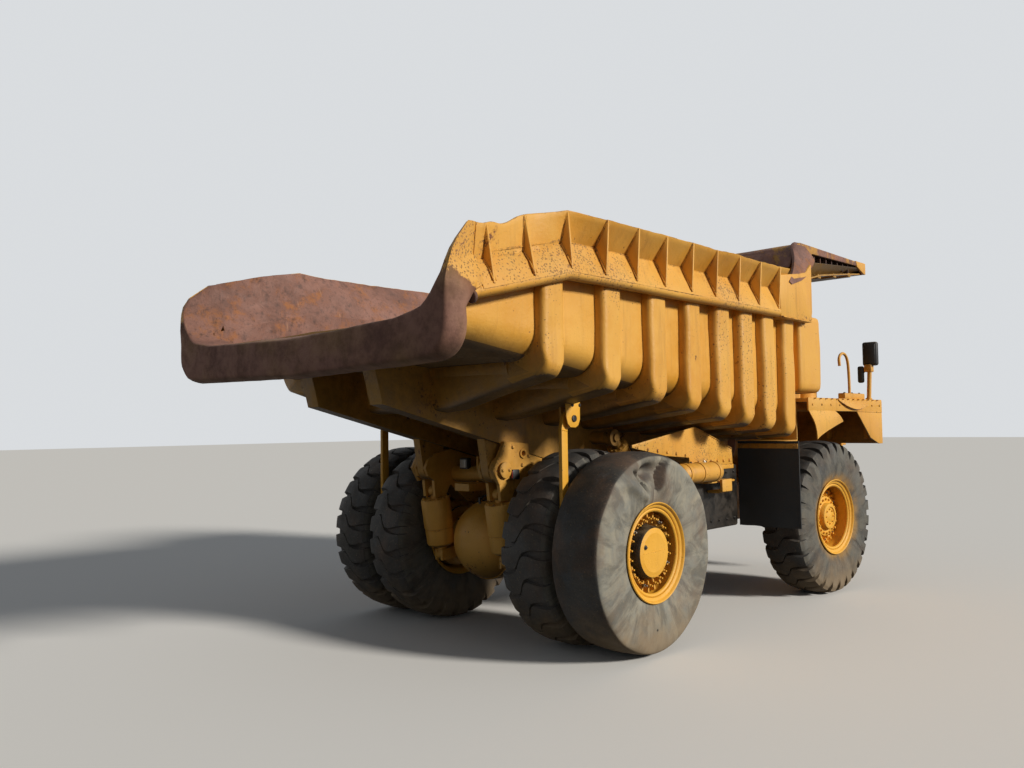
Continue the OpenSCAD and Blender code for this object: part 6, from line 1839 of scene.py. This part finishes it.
def make_ejector(side, name):
    """Rock ejector: flat bar between the twin tyres on a link, with the rounded bracket on the body."""
    p = Piece("rock_ejector_" + name, "wheel", body="ejector_" + name)
    x = side * EJECTOR_X
    bar = [
        (2.285, 1.255), (2.375, 1.255), (2.375, 2.21), (2.345, 2.33), (2.30, 2.37), (2.23, 2.365),
        (2.195, 2.32), (2.205, 2.26), (2.285, 2.20)
    ]
    p.plate(bar, 0, *sorted((x - 0.021, x + 0.021)), bevel=0.004)
    p.use("chassis").rod((x - 0.025, *EJECTOR_PIN), (x + 0.025, *EJECTOR_PIN), 0.042, sides=24, bevel=0.004)
    p.use("wheel").weld(
        [(x + side * 0.022, 2.29, 2.19), (x + side * 0.022, 2.33, 2.195), (x + side * 0.022, 2.37, 2.20)],
        0.005
    )
    p.done("ejector_" + name)
    q = Piece("ejector_bracket_" + name, "wheel", body="dump_body")
    ear = [
        (2.15, 2.52), (2.155, 2.30), (2.18, 2.245), (2.22, 2.222), (2.30, 2.225), (2.34, 2.26), (2.36, 2.32),
        (2.37, 2.52)
    ]
    q.plate(ear, 0, side * 1.436, side * 1.450, bevel=0.005)
    q.use("grease").rod(
        (side * 1.449, *EJECTOR_PIN), (side * 1.462, *EJECTOR_PIN), 0.034, sides=20, bevel=0.004
    )
    q.bolt((side * 1.449, 2.16, 2.44), (side, 0, 0), 0.013, 0.012)
    q.bolt((side * 1.449, 2.27, 2.44), (side, 0, 0), 0.013, 0.012)
    q.use("steel").rod((side * 1.38, 2.13, 2.45), (side * 1.452, 2.105, 2.53), 0.007, sides=6)
    return q.done(sharp=40)


def make_hoist_fittings(side, name):
    """Gland, base collar and oil pipe of one hoist cylinder."""
    p = Piece("hoist_fittings_" + name, "chassis", body="hoist_barrel_" + name)
    base, head = Vector((side * HOIST_X, *HOIST_BASE)), Vector((side * HOIST_X, *HOIST_HEAD))
    n = (head - base).length
    to = ring_to(*base, head - base)
    p.lathe(
        [
            (n - 0.20, 0.104), (n - 0.19, 0.122), (n - 0.135, 0.122), (n - 0.125, 0.10), (n - 0.125, 0.066),
            (n - 0.20, 0.066)
        ],
        to, 40
    )
    p.ring_bolts(to, n - 0.126, 0.093, 10, 0.011, 0.012)
    p.lathe([(0.12, 0.10), (0.12, 0.118), (0.17, 0.118), (0.18, 0.104)], to, 40)
    pipe = [to(0.22, 0.12, 1.5), to(0.3, 0.132, 1.5), to(n - 0.4, 0.132, 1.5), to(n - 0.28, 0.12, 1.5)]
    p.use("hose").tube(curve_points(pipe, 6), 0.014, 8)
    p.use("steel").rod(to(0.24, 0.1, 1.5), to(0.24, 0.135, 1.5), 0.02, sides=6)
    return p.done()


# Stage, settings and add-on

# Finish of each solid that stays, where it isn't the decks' enamel
NODE_FINISH = {
    "frame": "chassis",
    "radiator_grille": "black",
    "engine_block": "grease",
    "cab_glass": "glass",
    "cab_door_glass": "glass",
    "front_struts": "chassis",
    "rear_axle": "chassis",
    "body_front_wall": "rust_soft",
    "body_underframe": "under",
    "hoist_barrel_right": "chassis",
    "hoist_barrel_left": "chassis",
    # Painted shade: the hoist rods take the darkest oily enamel, so that they sink into the shadow under the
    # body
    "hoist_rod_right": "greasy_and_shaded",
    "hoist_rod_left": "greasy_and_shaded",
    "knuckle_right": "chassis",
    "knuckle_left": "chassis",
}


def dress_solids():
    """Gives every carried-over solid its finish; the ones that a piece stands for don't show."""
    for name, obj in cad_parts.items():
        obj.data.materials.clear()
        obj.data.materials.append(FINISHES[NODE_FINISH.get(name, "deck")])


def make_stage(looks):
    """Pale floor, pale background, a soft low key from the tail's right and a weak sky."""
    scene = bpy.context.scene
    bm = bmesh.new()
    bmesh.ops.create_grid(bm, x_segments=2, y_segments=2, size=120)
    mesh = bpy.data.meshes.new("stage_floor")
    bm.to_mesh(mesh)
    bm.free()
    floor = bpy.data.objects.new("stage_floor", mesh)
    scene.collection.objects.link(floor)
    matt, add = start_finish("studio_floor_matt")
    mesh.materials.append(matt)
    # The camera sees the pale floor; the truck only gets a plain ground's weak bounce
    seen = seen_directly(add)
    shade = add("Mix", {0: seen, 6: rgb("#403e38"), 7: tuple(looks.floor_colour)})
    add("OutputMaterial", {"Surface": add("BsdfDiffuse", {"Color": shade})})
    world = bpy.data.worlds.new("studio_sky")
    world.use_nodes = True
    world.node_tree.nodes.clear()
    add = partial(add_node, world.node_tree)
    seen = seen_directly(add)
    dim = add("Background", {0: rgb("#dfe6ee"), 1: looks.sky_strength})
    pale = add("Background", {0: rgb("#e4e7ea"), 1: 0.9})
    add("OutputWorld", {0: add("MixShader", {0: seen, 1: dim, 2: pale})})
    scene.world = world
    sun = bpy.data.lights.new("key", "SUN")
    sun.energy = looks.key_strength
    sun.angle = math.radians(9)
    sun.color = (1.0, 0.955, 0.88)
    key = bpy.data.objects.new("key", sun)
    key.rotation_euler = Vector((0.88, 0.26, -0.40)).to_track_quat("-Z", "Y").to_euler()
    scene.collection.objects.link(key)
    scene.view_settings.view_transform = "Standard"


# The photograph's width and focal length in pixels, and a usual sensor's width in millimetres
FRAME_PX = 1024
FOCAL_PX = 865.386
SENSOR_MM = 36.0


def make_camera():
    """The photograph's viewpoint."""
    cam = bpy.data.cameras.new("photo_view")
    cam.sensor_width = SENSOR_MM
    cam.lens = FOCAL_PX * SENSOR_MM / FRAME_PX
    cam.clip_end = 400
    yaw, pitch, roll = 3.89831379, 0.0491536463, -0.0129948181
    fwd = Vector((-math.sin(yaw) * math.cos(pitch), math.cos(yaw) * math.cos(pitch), math.sin(pitch)))
    level = Vector((math.cos(yaw), math.sin(yaw), 0))
    up = level.cross(fwd)
    right = math.cos(roll) * level + math.sin(roll) * up
    m = Matrix((right, right.cross(fwd), -fwd)).transposed().to_4x4()
    m.translation = (-6.76639043, 8.7457210, 2.23976035)
    obj = bpy.data.objects.new("photo_view", cam)
    obj.matrix_world = m
    bpy.context.scene.collection.objects.link(obj)
    bpy.context.scene.camera = obj


class TruckLooks(bpy.types.PropertyGroup):
    """Colours of the paint and levels of the stage."""

    enamel: bpy.props.FloatVectorProperty(
        name="Enamel", description="Main tone of the sprayed enamel",
        default=rgb("#e3a338"), size=4, subtype="COLOR", min=0.0, max=1.0
    )
    enamel_deep: bpy.props.FloatVectorProperty(
        name="Deep enamel", description="Tone of the enamel where it kept its depth",
        default=rgb("#cf8b22"), size=4, subtype="COLOR", min=0.0, max=1.0
    )
    enamel_pale: bpy.props.FloatVectorProperty(
        name="Bleached enamel", description="Tone of the enamel that the sun has bleached",
        default=rgb("#ebb758"), size=4, subtype="COLOR", min=0.0, max=1.0
    )
    key_strength: bpy.props.FloatProperty(
        name="Key light", description="Strength of the low sun from the tail's right", default=3.3, min=0.0,
        max=10.0
    )
    sky_strength: bpy.props.FloatProperty(
        name="Sky light", description="Strength of the pale sky that fills the shadows", default=0.22,
        min=0.0, max=3.0
    )
    floor_colour: bpy.props.FloatVectorProperty(
        name="Floor", description="Colour of the studio floor",
        default=rgb("#f4f2ee"), size=4, subtype="COLOR", min=0.0, max=1.0
    )


class TruckShape(bpy.types.PropertyGroup):
    """Sizes and counts of pieces that wear or differ from truck to truck."""

    rail_radius: bpy.props.FloatProperty(
        name="Rail radius", description="Radius of the round rail along the body's sides",
        default=0.056, min=0.03, max=0.075, unit="LENGTH"
    )
    lug_height: bpy.props.FloatProperty(
        name="Lug height", description="Height that is left of the tyres' lugs",
        default=0.048, min=0.005, max=0.06, unit="LENGTH"
    )
    lug_count: bpy.props.IntProperty(
        name="Lugs", description="Lugs around a front or outer rear tyre", default=28, min=12, max=48
    )
    clamp_count: bpy.props.IntProperty(
        name="Rim clamps", description="Wedge clamps around a rear rim", default=22, min=8, max=32
    )


SIDES = (("right", -1), ("left", 1))


class TRUCK_OT_finishes(bpy.types.Operator):
    """Mix the finishes and lay them on the solids that stay"""

    bl_idname = "truck.finishes"
    bl_label = "Finishes"

    def execute(self, context):
        mix_finishes()
        dress_solids()
        return {"FINISHED"}


class TRUCK_OT_stage(bpy.types.Operator):
    """Set up the camera, floor and lights"""

    bl_idname = "truck.stage"
    bl_label = "Stage"

    def execute(self, context):
        make_camera()
        make_stage(context.scene.truck_looks)
        return {"FINISHED"}


class TRUCK_OT_body(bpy.types.Operator):
    """Build the tipping body with its ribs, rails, tail wrap and canopy"""

    bl_idname = "truck.body"
    bl_label = "Tipping body"

    def execute(self, context):
        make_shell()
        for name, side in SIDES:
            make_rail(side, name)
        make_wrap()
        make_front_corners()
        make_canopy()
        return {"FINISHED"}


class TRUCK_OT_tyres(bpy.types.Operator):
    """Build the front and rear tyres"""

    bl_idname = "truck.tyres"
    bl_label = "Tyres"

    def execute(self, context):
        for name, side in SIDES:
            make_front_tyre(side, name)
            make_rear_tyres(side, name)
        return {"FINISHED"}


class TRUCK_OT_rims(bpy.types.Operator):
    """Build the front and rear rims with their hubs"""

    bl_idname = "truck.rims"
    bl_label = "Rims and hubs"

    def execute(self, context):
        for name, side in SIDES:
            make_rear_rims(side, name)
            make_front_rim(side, name)
        return {"FINISHED"}


class TRUCK_OT_front(bpy.types.Operator):
    """Build the walkways, rails, mirrors, lamps, bonnet fittings and air cleaners"""

    bl_idname = "truck.front"
    bl_label = "Front end"

    def execute(self, context):
        for name, side in SIDES:
            make_deck(side, name)
        make_rails()
        make_mirrors()
        make_lamps()
        make_bonnet_fittings()
        make_air_cleaners()
        return {"FINISHED"}


class TRUCK_OT_cab(bpy.types.Operator):
    """Build the cab's fittings, door fittings and interior"""

    bl_idname = "truck.cab"
    bl_label = "Cab"

    def execute(self, context):
        make_cab_fittings()
        make_door_fittings()
        make_interior()
        return {"FINISHED"}


class TRUCK_OT_chassis(bpy.types.Operator):
    """Build the struts, axle cover, tanks, flaps, hoist fittings and ejectors"""

    bl_idname = "truck.chassis"
    bl_label = "Chassis"

    def execute(self, context):
        make_rear_struts()
        make_axle_fittings()
        make_frame_fittings()
        make_tanks()
        make_flaps()
        for name, side in SIDES:
            make_ejector(side, name)
            make_hoist_fittings(side, name)
        return {"FINISHED"}


BUILD_ORDER = (
    TRUCK_OT_finishes, TRUCK_OT_stage, TRUCK_OT_body, TRUCK_OT_tyres, TRUCK_OT_rims, TRUCK_OT_front,
    TRUCK_OT_cab,
               TRUCK_OT_chassis)


class TRUCK_PT_panel(bpy.types.Panel):
    """Lists the truck's settings and build steps"""

    bl_idname = "TRUCK_PT_panel"
    bl_label = "Dump Truck"
    bl_space_type = "VIEW_3D"
    bl_region_type = "UI"
    bl_category = "Dump Truck"

    def draw(self, context):
        for group in (context.scene.truck_looks, context.scene.truck_shape):
            for name in group.__annotations__:
                self.layout.prop(group, name)
        for step in BUILD_ORDER:
            self.layout.operator(step.bl_idname)


def register():
    for cls in (TruckLooks, TruckShape, *BUILD_ORDER, TRUCK_PT_panel):
        bpy.utils.register_class(cls)
    bpy.types.Scene.truck_looks = bpy.props.PointerProperty(type=TruckLooks)
    bpy.types.Scene.truck_shape = bpy.props.PointerProperty(type=TruckShape)


def unregister():
    del bpy.types.Scene.truck_looks, bpy.types.Scene.truck_shape
    for cls in (TRUCK_PT_panel, *BUILD_ORDER[::-1], TruckShape, TruckLooks):
        bpy.utils.unregister_class(cls)


def main():
    register()
    for step in BUILD_ORDER:
        group, name = step.bl_idname.split(".")
        getattr(getattr(bpy.ops, group), name)()


if __name__ == "__main__":
    main()
